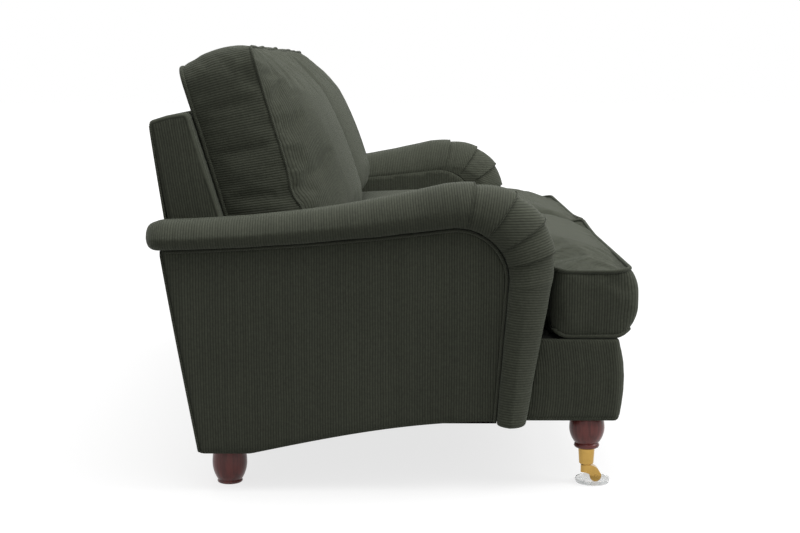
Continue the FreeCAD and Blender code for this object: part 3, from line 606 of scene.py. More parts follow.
def corduroy_group():
    """Ribs across the cloth, uneven from rib to rib and broken along each. The colour darkens down each rib
    into the furrow between ribs: partly the bare ground cloth, partly painted shade.
    """
    if "Corduroy" in bpy.data.node_groups:
        return bpy.data.node_groups["Corduroy"]
    inputs = [
        ("Cloth", "NodeSocketVector", None),
        ("Place", "NodeSocketVector", None),
        ("Rib width", "NodeSocketFloat", 0.005),
        ("Rib", "NodeSocketColor", (0.09, 0.09, 0.07, 1)),
        ("Shaded furrow", "NodeSocketColor", (0.03, 0.03, 0.02, 1)),
        ("Streaks", "NodeSocketFloat", 0.5),
        ("Patches", "NodeSocketFloat", 0.4),
    ]
    outputs = [
        ("Color", "NodeSocketColor"),
        ("Height", "NodeSocketFloat"),
        ("Roughness", "NodeSocketFloat"),
    ]
    tree, start, end = new_group("Corduroy", "ShaderNodeTree", inputs, outputs)
    place = start.outputs["Cloth"]
    split = add_node(tree, "ShaderNodeSeparateXYZ", {0: place})
    wander = swing(tree, noise_value(tree, place, 9.0), 0.004)
    across = maths(tree, "DIVIDE", maths(tree, "ADD", split.outputs[0], wander), start.outputs["Rib width"])
    number = maths(tree, "FLOOR", across)
    part = maths(tree, "FRACT", across)
    offset = maths(tree, "SUBTRACT", maths(tree, "MULTIPLY", part, 2.0), 1.0)
    round_rib = maths(tree, "SUBTRACT", 1.0, maths(tree, "MULTIPLY", offset, offset))
    ridge = maths(tree, "POWER", round_rib, 0.75)
    own = add_node(tree, "ShaderNodeTexWhiteNoise", {"W": number}, noise_dimensions="1D").outputs[0]
    along = maths(tree, "MULTIPLY", split.outputs[1], 150.0)
    spread = maths(tree, "MULTIPLY", number, 7.31)
    broken = add_node(tree, "ShaderNodeCombineXYZ", {0: spread, 1: along, 2: 0.0}).outputs[0]
    streak = noise_value(tree, broken, 1.0, 3.0, 0.65)
    slow_along = maths(tree, "MULTIPLY", split.outputs[1], 14.0)
    slow_spread = maths(tree, "MULTIPLY", number, 0.23)
    slow = add_node(tree, "ShaderNodeCombineXYZ", {0: slow_spread, 1: slow_along, 2: 3.0}).outputs[0]
    band = noise_value(tree, slow, 1.0, 2.0)
    patch = noise_value(tree, start.outputs["Place"], 4.5, 3.0, 0.55)
    pile = noise_value(tree, start.outputs["Place"], 1400.0, 2.0)
    shade = maths(tree, "ADD", 1.0, swing(tree, own, 0.12))
    streaks = maths(tree, "MULTIPLY", maths(tree, "SUBTRACT", streak, 0.5), start.outputs["Streaks"])
    shade = maths(tree, "ADD", shade, maths(tree, "MULTIPLY", streaks, 1.5))
    patches = maths(tree, "MULTIPLY", maths(tree, "SUBTRACT", patch, 0.5), start.outputs["Patches"])
    shade = maths(tree, "ADD", shade, patches)
    shade = maths(tree, "ADD", shade, swing(tree, band, 0.16))
    shade = maths(tree, "ADD", shade, swing(tree, pile, 0.25))
    shade = maths(tree, "MAXIMUM", shade, 0.35)
    # Painted shade: the colour darkens from each rib's crest into the furrow, following the rib's height;
    # the furrow is also bare ground cloth
    mix_inputs = {0: ridge, 6: start.outputs["Shaded furrow"], 7: start.outputs["Rib"]}
    mixed = add_node(tree, "ShaderNodeMix", mix_inputs, data_type="RGBA").outputs[2]
    shaded = add_node(tree, "ShaderNodeVectorMath", {0: mixed, "Scale": shade}, operation="SCALE")
    height = maths(tree, "ADD", ridge, maths(tree, "MULTIPLY", streak, 0.5))
    height = maths(tree, "ADD", height, maths(tree, "MULTIPLY", pile, 0.25))
    rough = maths(tree, "ADD", 0.80, swing(tree, band, 0.2))
    tree.links.new(shaded.outputs[0], end.inputs["Color"])
    tree.links.new(height, end.inputs["Height"])
    tree.links.new(rough, end.inputs["Roughness"])
    return tree


def grain_group():
    """Wood grain stretched along the height of a piece."""
    if "Wood grain" in bpy.data.node_groups:
        return bpy.data.node_groups["Wood grain"]
    inputs = [
        ("Place", "NodeSocketVector", None),
        ("Light", "NodeSocketColor", (0.5, 0.3, 0.2, 1)),
        ("Dark", "NodeSocketColor", (0.3, 0.15, 0.1, 1)),
        ("Rings", "NodeSocketFloat", 60.0),
    ]
    outputs = [
        ("Color", "NodeSocketColor"),
        ("Height", "NodeSocketFloat"),
        ("Roughness", "NodeSocketFloat"),
    ]
    tree, start, end = new_group("Wood grain", "ShaderNodeTree", inputs, outputs)
    stretch = {0: start.outputs["Place"], 1: (1.0, 1.0, 0.09)}
    long_way = add_node(tree, "ShaderNodeVectorMath", stretch, operation="MULTIPLY").outputs[0]
    wander = noise_value(tree, long_way, 22.0, 4.0, 0.6)
    rings = maths(tree, "SINE", maths(tree, "MULTIPLY", wander, start.outputs["Rings"]))
    ring = maths(tree, "MULTIPLY_ADD", rings, 0.5, 0.5)
    pores = noise_value(tree, long_way, 1600.0, 2.0)
    amount = maths(tree, "ADD", maths(tree, "MULTIPLY", ring, 0.7), maths(tree, "MULTIPLY", pores, 0.5))
    mix_inputs = {0: amount, 6: start.outputs["Light"], 7: start.outputs["Dark"]}
    mixed = add_node(tree, "ShaderNodeMix", mix_inputs, data_type="RGBA").outputs[2]
    tree.links.new(mixed, end.inputs["Color"])
    tree.links.new(pores, end.inputs["Height"])
    tree.links.new(maths(tree, "MULTIPLY_ADD", pores, 0.12, 0.26), end.inputs["Roughness"])
    return tree


def weave_group():
    """Plain weave of two crossing threads, on the cloth map. Where the threads dip the colour is darker:
    partly the gaps between threads, partly painted shade.
    """
    if "Weave" in bpy.data.node_groups:
        return bpy.data.node_groups["Weave"]
    inputs = [
        ("Cloth", "NodeSocketVector", None),
        ("Thread", "NodeSocketFloat", 0.0009),
        ("Colour", "NodeSocketColor", (0.05, 0.05, 0.05, 1)),
        ("Gap shade", "NodeSocketFloat", 0.5),
    ]
    outputs = [("Color", "NodeSocketColor"), ("Height", "NodeSocketFloat")]
    tree, start, end = new_group("Weave", "ShaderNodeTree", inputs, outputs)
    split = add_node(tree, "ShaderNodeSeparateXYZ", {0: start.outputs["Cloth"]})
    waves = []
    for k in (0, 1):
        turns = maths(tree, "DIVIDE", split.outputs[k], start.outputs["Thread"])
        waves.append(maths(tree, "SINE", maths(tree, "MULTIPLY", turns, math.pi)))
    crossing = maths(tree, "MULTIPLY", waves[0], waves[1])
    height = maths(tree, "MULTIPLY_ADD", crossing, 0.5, 0.5)
    uneven = noise_value(tree, start.outputs["Cloth"], 260.0, 3.0)
    # Painted shade: darker where the weave's relief is low, partly the real gaps between threads
    shade = maths(tree, "MULTIPLY_ADD", height, start.outputs["Gap shade"], 0.75)
    shade = maths(tree, "ADD", shade, swing(tree, uneven, 0.5))
    scaled = {0: start.outputs["Colour"], "Scale": shade}
    shaded = add_node(tree, "ShaderNodeVectorMath", scaled, operation="SCALE")
    tree.links.new(shaded.outputs[0], end.inputs["Color"])
    tree.links.new(height, end.inputs["Height"])
    return tree


def piping_tree():
    """Round piping along a seam line, with its cloth map."""
    if "Piping" in bpy.data.node_groups:
        return bpy.data.node_groups["Piping"]
    inputs = [
        ("Seam", "NodeSocketGeometry", None),
        ("Cord radius", "NodeSocketFloat", 0.004),
        ("Step", "NodeSocketFloat", 0.006),
        ("Sides", "NodeSocketInt", 12),
        ("Cloth", "NodeSocketMaterial", None),
    ]
    tree, start, end = new_group("Piping", "GeometryNodeTree", inputs, [("Piping", "NodeSocketGeometry")])
    even = {"Curve": start.outputs["Seam"], "Length": start.outputs["Step"]}
    line = add_node(tree, "GeometryNodeResampleCurve", even, mode="LENGTH")
    spot = add_node(tree, "GeometryNodeSplineParameter")
    keep_line = add_node(tree, "GeometryNodeCaptureAttribute", {"Geometry": line.outputs["Curve"]})
    keep_line.capture_items.new("FLOAT", "Along")
    tree.links.new(spot.outputs["Length"], keep_line.inputs["Along"])
    ring_inputs = {"Resolution": start.outputs["Sides"], "Radius": start.outputs["Cord radius"]}
    ring = add_node(tree, "GeometryNodeCurvePrimitiveCircle", ring_inputs)
    keep_ring = add_node(tree, "GeometryNodeCaptureAttribute", {"Geometry": ring.outputs["Curve"]})
    keep_ring.capture_items.new("FLOAT", "Round")
    tree.links.new(spot.outputs["Factor"], keep_ring.inputs["Round"])
    ends = {
        "Curve": keep_line.outputs["Geometry"],
        "Profile Curve": keep_ring.outputs["Geometry"],
        "Fill Caps": True,
    }
    tube = add_node(tree, "GeometryNodeCurveToMesh", ends)
    turn = maths(tree, "MULTIPLY", keep_ring.outputs["Round"], 0.024)
    slant = maths(tree, "ADD", keep_line.outputs["Along"], turn)
    place = add_node(tree, "ShaderNodeCombineXYZ", {0: slant, 1: turn, 2: 0.0})
    named = {"Geometry": tube.outputs["Mesh"], "Name": "cloth", "Value": place.outputs[0]}
    mapped = add_node(
        tree, "GeometryNodeStoreNamedAttribute", named, data_type="FLOAT2", domain="CORNER"
    )
    smooth = add_node(tree, "GeometryNodeSetShadeSmooth", {"Geometry": mapped.outputs["Geometry"]})
    real = add_node(tree, "GeometryNodeRealizeInstances", {"Geometry": smooth.outputs["Geometry"]})
    cloth = {"Geometry": real.outputs["Geometry"], "Material": start.outputs["Cloth"]}
    covered = add_node(tree, "GeometryNodeSetMaterial", cloth)
    tree.links.new(covered.outputs["Geometry"], end.inputs["Piping"])
    return tree


def staple_tree():
    """Staples along an edge, each lying along it."""
    if "Staples" in bpy.data.node_groups:
        return bpy.data.node_groups["Staples"]
    inputs = [
        ("Edge", "NodeSocketGeometry", None),
        ("Gap", "NodeSocketFloat", 0.05),
        ("Wire", "NodeSocketFloat", 0.0011),
        ("Crown", "NodeSocketFloat", 0.011),
        ("Metal", "NodeSocketMaterial", None),
    ]
    tree, start, end = new_group("Staples", "GeometryNodeTree", inputs, [("Staples", "NodeSocketGeometry")])
    even = {"Curve": start.outputs["Edge"], "Length": start.outputs["Gap"]}
    line = add_node(tree, "GeometryNodeResampleCurve", even, mode="LENGTH")
    size = {0: start.outputs["Crown"], 1: start.outputs["Wire"], 2: start.outputs["Wire"]}
    block = add_node(tree, "ShaderNodeCombineXYZ", size)
    bar = add_node(tree, "GeometryNodeMeshCube", {"Size": block.outputs[0]})
    tangent = add_node(tree, "GeometryNodeInputTangent")
    turned = add_node(
        tree, "FunctionNodeAlignRotationToVector", {"Vector": tangent.outputs[0]}, axis="X"
    )
    jitter = add_node(
        tree,
        "FunctionNodeRandomValue",
        {"Min": (0.0, 0.0, -0.25), "Max": (0.0, 0.0, 0.25), "Seed": 5},
        data_type="FLOAT_VECTOR",
    )
    askew = add_node(
        tree,
        "FunctionNodeRotateRotation",
        {"Rotation": turned.outputs[0], "Rotate By": jitter.outputs[0]},
        rotation_space="LOCAL",
    )
    spread = {
        "Points": line.outputs["Curve"],
        "Instance": bar.outputs["Mesh"],
        "Rotation": askew.outputs[0],
    }
    rows = add_node(tree, "GeometryNodeInstanceOnPoints", spread)
    real = add_node(tree, "GeometryNodeRealizeInstances", {"Geometry": rows.outputs["Instances"]})
    metal = {"Geometry": real.outputs["Geometry"], "Material": start.outputs["Metal"]}
    finish = add_node(tree, "GeometryNodeSetMaterial", metal)
    tree.links.new(finish.outputs["Geometry"], end.inputs["Staples"])
    return tree


def grown(name, tree, line, closed, values, material):
    """A plain mesh that a tree grows along a line of points in metres."""
    curve = bpy.data.curves.new(name + "_line", "CURVE")
    curve.dimensions = "3D"
    spline = curve.splines.new("POLY")
    spline.points.add(len(line) - 1)
    spline.points.foreach_set("co", np.column_stack([line, np.ones(len(line))]).ravel())
    spline.use_cyclic_u = closed
    path = in_scene(name + "_line", curve)
    modifier = path.modifiers.new("grow", "NODES")
    modifier.node_group = tree
    for item in tree.interface.items_tree:
        if item.item_type == "SOCKET" and item.in_out == "INPUT" and item.name in values:
            modifier[item.identifier] = values[item.name]
    bpy.context.view_layer.update()
    graph = bpy.context.evaluated_depsgraph_get()
    mesh = bpy.data.meshes.new_from_object(path.evaluated_get(graph))
    mesh.name = name
    path.modifiers.remove(modifier)
    bpy.data.objects.remove(path)
    if not mesh.materials:
        mesh.materials.append(material)
    return in_scene(name, mesh)


def piping(name, line, radius, closed=False):
    """Covered piping along a line in millimetres."""
    cloth = finish("cover_fabric")
    values = {"Cord radius": radius, "Cloth": cloth}
    return grown(name, piping_tree(), np.asarray(line) * MM, closed, values, cloth)


# Finishes


def new_material(name):
    """A material with its Principled shader, and where its surface is read."""
    material = bpy.data.materials.new(name)
    material.use_nodes = True
    tree = material.node_tree
    shader = tree.nodes["Principled BSDF"]
    place = add_node(tree, "ShaderNodeTexCoord").outputs["Object"]
    return material, tree, shader, place


def grouped(tree, group, inputs):
    """A node group placed in a material."""
    node = tree.nodes.new("ShaderNodeGroup")
    node.node_tree = group
    for key, value in inputs.items():
        if isinstance(value, bpy.types.NodeSocket):
            tree.links.new(value, node.inputs[key])
        else:
            node.inputs[key].default_value = value
    return node


def bumped(tree, shader, height, depth, strength=1.0):
    """Relief on the shader's normal."""
    inputs = {"Height": height, "Distance": depth, "Strength": strength}
    bump = add_node(tree, "ShaderNodeBump", inputs)
    tree.links.new(bump.outputs["Normal"], shader.inputs["Normal"])


def rgba(colour, factor=1.0):
    """A lighter or darker colour for a socket."""
    return (*[min(1.0, c * factor) for c in colour], 1.0)


def cover_fabric():
    """Corduroy of the covers."""
    material, tree, shader, place = new_material("cover_fabric")
    cloth = add_node(tree, "ShaderNodeUVMap", uv_map="cloth").outputs[0]
    inputs = {
        "Cloth": cloth,
        "Place": place,
        "Rib width": sizes().rib_width,
        "Rib": rgba(colours().rib),
        # The furrow colour is partly ground cloth and partly painted shade
        "Shaded furrow": rgba(colours().shaded_furrow),
        "Streaks": 0.55,
        "Patches": 0.35,
    }
    ribs = grouped(tree, corduroy_group(), inputs)
    tree.links.new(ribs.outputs["Color"], shader.inputs["Base Color"])
    tree.links.new(ribs.outputs["Roughness"], shader.inputs["Roughness"])
    bumped(tree, shader, ribs.outputs["Height"], 0.0011, 0.8)
    shader.inputs["Sheen Weight"].default_value = 0.12
    shader.inputs["Sheen Roughness"].default_value = 0.45
    shader.inputs["Sheen Tint"].default_value = (0.80, 0.86, 0.74, 1.0)
    shader.inputs["Specular IOR Level"].default_value = 0.15
    return material


def woven(name, colour, thread, gap_shade, depth, roughness):
    """A plain woven cloth."""
    material, tree, shader, _ = new_material(name)
    cloth = add_node(tree, "ShaderNodeUVMap", uv_map="cloth").outputs[0]
    inputs = {"Cloth": cloth, "Thread": thread, "Colour": rgba(colour), "Gap shade": gap_shade}
    weave = grouped(tree, weave_group(), inputs)
    tree.links.new(weave.outputs["Color"], shader.inputs["Base Color"])
    bumped(tree, shader, weave.outputs["Height"], depth, 0.7)
    shader.inputs["Roughness"].default_value = roughness
    shader.inputs["Specular IOR Level"].default_value = 0.2
    return material


def deck_fabric():
    """Plain cloth of the seat deck."""
    return woven("deck_fabric", colours().deck, 0.0011, 0.5, 0.0004, 0.9)


def dust_fabric():
    """Thin cloth under the frame."""
    return woven("dust_fabric", colours().dust, 0.0007, 0.4, 0.0002, 0.85)


def webbing():
    """Woven straps inside the back."""
    return woven("webbing", colours().webbing, 0.0022, 0.8, 0.0007, 0.8)


def turned_wood():
    """Stained and lacquered wood of the legs and feet."""
    material, tree, shader, place = new_material("turned_wood")
    inputs = {
        "Place": place,
        "Light": rgba(colours().turned, 1.25),
        "Dark": rgba(colours().turned, 0.62),
        "Rings": 42.0,
    }
    grain = grouped(tree, grain_group(), inputs)
    tree.links.new(grain.outputs["Color"], shader.inputs["Base Color"])
    tree.links.new(grain.outputs["Roughness"], shader.inputs["Roughness"])
    bumped(tree, shader, grain.outputs["Height"], 0.0001, 0.4)
    shader.inputs["Coat Weight"].default_value = 0.2
    shader.inputs["Specular IOR Level"].default_value = 0.3
    shader.inputs["Coat Roughness"].default_value = 0.22
    return material


def frame_wood():
    """Planed softwood of the hidden frame."""
    material, tree, shader, place = new_material("frame_wood")
    turned = add_node(tree, "ShaderNodeMapping", {"Vector": place, "Rotation": (0.0, 0.5 * math.pi, 0.0)})
    inputs = {
        "Place": turned.outputs[0],
        "Light": rgba(colours().pine, 1.15),
        "Dark": rgba(colours().pine, 0.7),
        "Rings": 30.0,
    }
    grain = grouped(tree, grain_group(), inputs)
    tree.links.new(grain.outputs["Color"], shader.inputs["Base Color"])
    bumped(tree, shader, grain.outputs["Height"], 0.0002, 0.5)
    shader.inputs["Roughness"].default_value = 0.62
    return material


def metal(name, colour, roughness, spread, scale, stretch):
    """Metal with fine turning or drawing marks."""
    material, tree, shader, place = new_material(name)
    drawn = add_node(tree, "ShaderNodeVectorMath", {0: place, 1: stretch}, operation="MULTIPLY")
    marks = noise_value(tree, drawn.outputs[0], scale, 3.0, 0.6)
    smudges = noise_value(tree, place, 70.0, 3.0)
    rough = maths(tree, "ADD", roughness, swing(tree, smudges, spread))
    tree.links.new(rough, shader.inputs["Roughness"])
    light, dark = rgba(colour, 1.08), rgba(colour, 0.82)
    mixed = add_node(tree, "ShaderNodeMix", {0: smudges, 6: light, 7: dark}, data_type="RGBA")
    tree.links.new(mixed.outputs[2], shader.inputs["Base Color"])
    bumped(tree, shader, marks, 0.00006, 0.5)
    shader.inputs["Metallic"].default_value = 1.0
    return material


def brass():
    """Brass of the casters."""
    return metal("brass", colours().brass, 0.20, 0.16, 900.0, (0.3, 0.3, 4.0))


def steel():
    """Steel of the springs and fixings."""
    return metal("steel", colours().steel, 0.38, 0.2, 700.0, (1.0, 3.0, 1.0))


def clear_plastic():
    """Clear plastic of the caster cups, a little scratched."""
    material, tree, shader, place = new_material("clear_plastic")
    haze = noise_value(tree, place, 160.0, 4.0)
    tree.links.new(maths(tree, "MULTIPLY_ADD", haze, 0.16, 0.06), shader.inputs["Roughness"])
    bumped(tree, shader, haze, 0.00008, 0.3)
    shader.inputs["Base Color"].default_value = (0.82, 0.83, 0.83, 1.0)
    shader.inputs["Transmission Weight"].default_value = 0.85
    shader.inputs["IOR"].default_value = 1.49
    return material


FINISHES = {
    "cover_fabric": cover_fabric,
    "deck_fabric": deck_fabric,
    "dust_fabric": dust_fabric,
    "webbing": webbing,
    "turned_wood": turned_wood,
    "frame_wood": frame_wood,
    "brass": brass,
    "steel": steel,
    "clear_plastic": clear_plastic,
}


def finish(slot):
    """The material of a slot, made the first time that it is asked for."""
    return bpy.data.materials.get("sofa_" + slot) or make_finish(slot)


def make_finish(slot):
    """Makes the material of a slot."""
    material = FINISHES[slot]()
    material.name = "sofa_" + slot
    return material


def finish_nodes(names, slot):
    """Gives frame pieces their finish."""
    material = finish(slot)
    for name in names:
        piece = nodes[name]
        if not piece.material_slots:
            piece.data.materials.append(material)
        for place in piece.material_slots:
            place.material = material


def both_sides(name):
    """Names of a left and a right piece."""
    return [name + "_left", name + "_right"]


def fit(piece, body, replaced=()):
    """Fixes a finished piece to its body and hides the frame parts that it stands for."""
    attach(piece, body)
    if replaced:
        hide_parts(*replaced)


# Arms


def roll_section(rise, square, recess):
    """Section across the arm roll as (across, height, distance round) points, from inside to out."""
    top = square * rise
    inner_top = (X_IN, top)
    inner_swell = (X_IN + 0.33 * (X_CREST - X_IN), top + 0.74 * (rise - top))
    crest = (X_CREST, rise)
    outer_swell = (X_ROLL - 18.0, 0.82 * rise)
    outer = (X_ROLL, 0.42 * rise)
    lower_swell = (X_ROLL - 8.0, 0.14 * rise)
    foot = (X_WELT, 0.0)
    points = [(X_IN, top * i / 8) for i in range(8)]
    points += three_point_arc(inner_top, inner_swell, crest, 22)
    points += three_point_arc(crest, outer_swell, outer, 18)
    points += three_point_arc(outer, lower_swell, foot, 14)
    points.append(foot)
    points = np.array(points)
    way = np.gradient(points, axis=0)
    way /= np.maximum(1e-6, np.linalg.norm(way, axis=1))[:, None]
    outward = np.stack([-way[:, 1], way[:, 0]], 1)
    along = np.concatenate([[0], np.cumsum(np.linalg.norm(np.diff(points, axis=0), axis=1))])
    depth = recess * np.clip(np.sin(math.pi * along / along[-1]) * 1.6, 0.0, 1.0)
    points = points - outward * depth[:, None]
    return np.column_stack([points, along[-1] - along])


def roll_row(station, across_of, closing=1.0, shift=0.0):
    """Points and cloth places of one section, with its flat underside."""
    y, z, ny, nz, rise, square, recess = station
    section = roll_section(rise, square, recess)
    under = np.linspace(0, 1, 7)[1:]
    width = X_WELT - X_IN
    flat = np.column_stack([X_WELT - width * under, np.zeros(len(under)), -width * under])
    section = np.vstack([section, flat])
    x_mid = 0.5 * (X_IN + X_ROLL)
    n_mid = 0.45 * rise
    x = x_mid + (section[:, 0] - x_mid) * closing
    n = n_mid + (section[:, 1] - n_mid) * closing
    places = np.column_stack([x, y + n * ny + shift * nz, z + n * nz - shift * ny])
    cloth = np.column_stack([across_of(section[:, 1]), section[:, 2]])
    return places, cloth


def add_rows(cover, rows):
    """Joins sections, each with its points and cloth places."""
    cover.grid(np.stack([r[0] for r in rows]), np.stack([r[1] for r in rows]))


def wedge_rise(t, start, finish):
    """Crest of a pleat between two folds: full in the middle."""
    middle = 0.5 * (start - 4.0 + finish) + 2.6
    return (1 - t) * (1 - 2 * t) * start + 4 * t * (1 - t) * middle + t * (2 * t - 1) * finish


def shoulder(degrees):
    """How square the inner shoulder is at an angle of the corner."""
    return ROLL_SQUARE + 0.5 * min(90.0, max(0.0, degrees)) / 90.0


def top_station(t):
    """Place, direction and section of the roll along the top of the arm, from rear to front."""
    cy, cz, radius, first, last = top_arc()
    a = first + (last - first) * t
    y = cy + radius * math.sin(a)
    z = cz - radius * math.cos(a)
    rise = REAR_RISE + (FRONT_RISE - REAR_RISE) * t**2.2
    return y, z, -math.sin(a), math.cos(a), rise, ROLL_SQUARE, 0.0


def corner_station(degrees, rise, recess=0.0):
    """The same at an angle of the round front corner."""
    return (*on_corner(degrees), rise, shoulder(degrees), recess)


def level(distance):
    """Cloth place of a section whose ribs all lie at one distance along the roll."""
    return lambda n: distance + 0 * n


def add_roll_top(cover):
    """Closed rear end and top of the roll. Returns the length of the top."""
    _, _, radius, first, last = top_arc()
    length = radius * abs(last - first)
    rear = top_station(0.0)
    steps = 15
    rows = []
    for i in range(steps):
        out = math.sin(0.5 * math.pi * (1 - i / steps))
        closing = max(0.02, (1 - out**3) ** (1 / 2.2))
        rows.append(roll_row(rear, level(-ROLL_END * out * 1.3), closing, ROLL_END * out))
    rows.append(roll_row(rear, level(0.0)))
    add_rows(cover, rows)
    steps = 96
    add_rows(cover, [roll_row(top_station(i / steps), level(length * i / steps)) for i in range(steps + 1)])
    return length


def add_corner_start(cover, length):
    """Smooth part of the corner before its first fold."""
    rows = []
    for i in range(CORNER_STEPS + 1):
        t = i / CORNER_STEPS
        degrees = CORNER_START + (FOLDS[0][0] - CORNER_START) * t
        turned = math.radians(degrees - CORNER_START)
        rise = FRONT_RISE + (FOLDS[0][1] - FRONT_RISE) * t * t
        station = corner_station(degrees, rise)
        rows.append(roll_row(station, lambda n, a=turned: length + (CORNER_RADIUS + n) * a))
    add_rows(cover, rows)


def add_pleat(cover, fold, following, lean):
    """Cloth between two folds of the fan. Each fold is an (angle, rise) pair."""
    angle, rise = fold
    next_angle, next_rise = following
    lift = sizes().fold_lift / MM

    def ribs(degrees):
        turned = math.sin(math.radians(degrees - lean))
        return lambda n: (CORNER_RADIUS + n) * turned

    # The edge of the cloth turns under and comes out again beneath the fold.
    edge = [(0.0, -1.2), (0.5, -0.6), (0.7, 0.8), (0.4, 2.2), (-1.4, lift + 1.2)]
    rows = [roll_row(corner_station(angle + da, rise, dn), ribs(angle + da)) for da, dn in edge]
    add_rows(cover, rows)
    rows = [rows[-1]]
    begin = angle + 0.2
    for i in range(CORNER_STEPS + 1):
        t = i / CORNER_STEPS
        degrees = begin + (next_angle - angle - 0.2) * t
        recess = lift * (1 - t) ** 1.3
        station = corner_station(degrees, wedge_rise(t, rise, next_rise), recess)
        rows.append(roll_row(station, ribs(degrees)))
    add_rows(cover, rows)


def add_column(cover):
    """Front of the arm, down to its closed foot."""
    y, z, ny, nz = on_corner(CORNER_END)
    drop = z - COLUMN_BOTTOM
    start = CORNER_RADIUS * math.sin(math.radians(CORNER_END - RIB_LEANS[-1]))
    steps = 48
    rows = []
    for i in range(steps + 1):
        t = i / steps
        rise = END_RISE + (FOOT_RISE - END_RISE) * t
        station = (y + COLUMN_LEAN * drop * t, z - drop * t, ny, nz, rise, COLUMN_SQUARE, 0.0)
        rows.append(roll_row(station, level(start + drop * t)))
    for shift, closing in ((1.5, 0.99), (3.5, 0.965), (5.2, 0.92), (6.0, 0.86), (6.0, 0.5), (6.0, 0.02)):
        rows.append(roll_row(station, level(start + drop + shift), closing, -shift))
    add_rows(cover, rows)


def arm_cover():
    """Cloth of the roll, its fan pleats and the front of the arm."""
    cover = Cover()
    length = add_roll_top(cover)
    add_corner_start(cover, length)
    stops = [*FOLDS, (CORNER_END, END_RISE)]
    for fold, following, lean in zip(FOLDS, stops[1:], RIB_LEANS):
        add_pleat(cover, fold, following, lean)
    add_column(cover)
    return cover


def soften(piece, depth, scale, seed, keep=None):
    """Moves each point a little along its normal, as stuffing under the cloth does."""
    mesh = piece.data
    places = read_places(mesh)
    normals = np.empty(len(places) * 3)
    mesh.vertex_normals.foreach_get("vector", normals)
    move = lumps(places / MM, scale, depth, seed) * MM
    if keep is not None:
        move *= keep(places / MM)
    write_places(mesh, places + normals.reshape(-1, 3) * move[:, None])


class SOFA_OT_arm_rolls(bpy.types.Operator):
    """Stuffed rolls of the two arms, with their fan pleats"""

    bl_idname = "sofa.arm_rolls"
    bl_label = "Arm rolls"

    def execute(self, context):
        for name, side in SIDES:
            piece = arm_cover().build("arm_roll_cover_" + name, finish("cover_fabric"), side)
            soften(piece, 1.1, 55.0, 2.0 + side)
            fit(piece, "frame", ["arm_roll_" + name])
        return {"FINISHED"}


def outer_place(y, z, lift):
    """Places on the outer arm panel, fuller towards its rear edge."""
    reach = 120.0
    rear = np.clip((y - frame_y(z) + reach) / reach, 0, 1)
    return np.column_stack([X_WELT + lift, y + rear_fullness(z) * rear, z])


def inner_place(y, z, lift):
    """Places on the inner arm panel."""
    return np.column_stack([X_IN - lift, y, z])


class SOFA_OT_arm_panels(bpy.types.Operator):
    """Outer and inner panels of the two arms"""

    bl_idname = "sofa.arm_panels"
    bl_label = "Arm panels"

    def execute(self, context):
        outer_step = 9.0
        inner_step = 11.0
        outer = even_loop(np.array(crease(0.5) + arch()), outer_step)
        line = [p for p in crease() if p[1] > DECK_TOP]
        line.append((column_place(DECK_TOP), DECK_TOP))
        line.append((frame_y(DECK_TOP), DECK_TOP))
        inner = even_loop(np.array(line), inner_step)
        for name, side in SIDES:
            cover = Cover()
            padded_panel(cover, outer, outer_place, thickness=18.0, puff=2.6, reach=34.0, step=outer_step)
            piece = cover.build("arm_outer_cover_" + name, finish("cover_fabric"), side)
            fit(piece, "frame", ["outer_arm_panel_" + name])
            cover = Cover()
            padded_panel(
                cover,
                inner,
                inner_place,
                thickness=45.0,
                puff=1.6,
                reach=60.0,
                step=inner_step,
                rounding=0.0,
            )
            piece = cover.build("arm_inner_cover_" + name, finish("cover_fabric"), side)
            fit(piece, "frame", ["inner_arm_pad_" + name])
        return {"FINISHED"}


class SOFA_OT_arm_piping(bpy.types.Operator):
    """Piping in the crease between each roll and its outer panel"""

    bl_idname = "sofa.arm_piping"
    bl_label = "Arm piping"

    def execute(self, context):
        radius = sizes().arm_piping
        inset = radius / MM + 1.0
        line = np.array(crease(inset))
        for name, side in SIDES:
            x = np.full(len(line), side * (X_WELT + radius / MM))
            piece = piping("arm_piping_" + name, np.column_stack([x, line]), radius)
            fit(piece, "frame", ["arm_welt_" + name])
        return {"FINISHED"}


# Base


def border_depth(z):
    """How far the front of the border lies behind its fullest line, at a height."""
    return np.interp(z, *zip(*BORDER_FRONT))


def border_side_depth(z):
    """The same at the side of the base."""
    return np.interp(z, *zip(*BORDER_SIDE))


def border_line(y_start):
    """Half of the line round the base as (across, depth, turn) points, from an arm to the middle."""
    half = X_BASE - BORDER_CORNER
    y_turn = Y_BORDER + BORDER_CORNER
    line = [(X_BASE, y_start + (y_turn - y_start) * i / 22, 0.0) for i in range(22)]
    for i in range(17):
        a = 0.5 * math.pi * i / 16
        x = half + BORDER_CORNER * math.cos(a)
        line.append((x, y_turn - BORDER_CORNER * math.sin(a), a))
    line += [(half * (1 - i / 70), Y_BORDER, 0.5 * math.pi) for i in range(1, 71)]
    return line


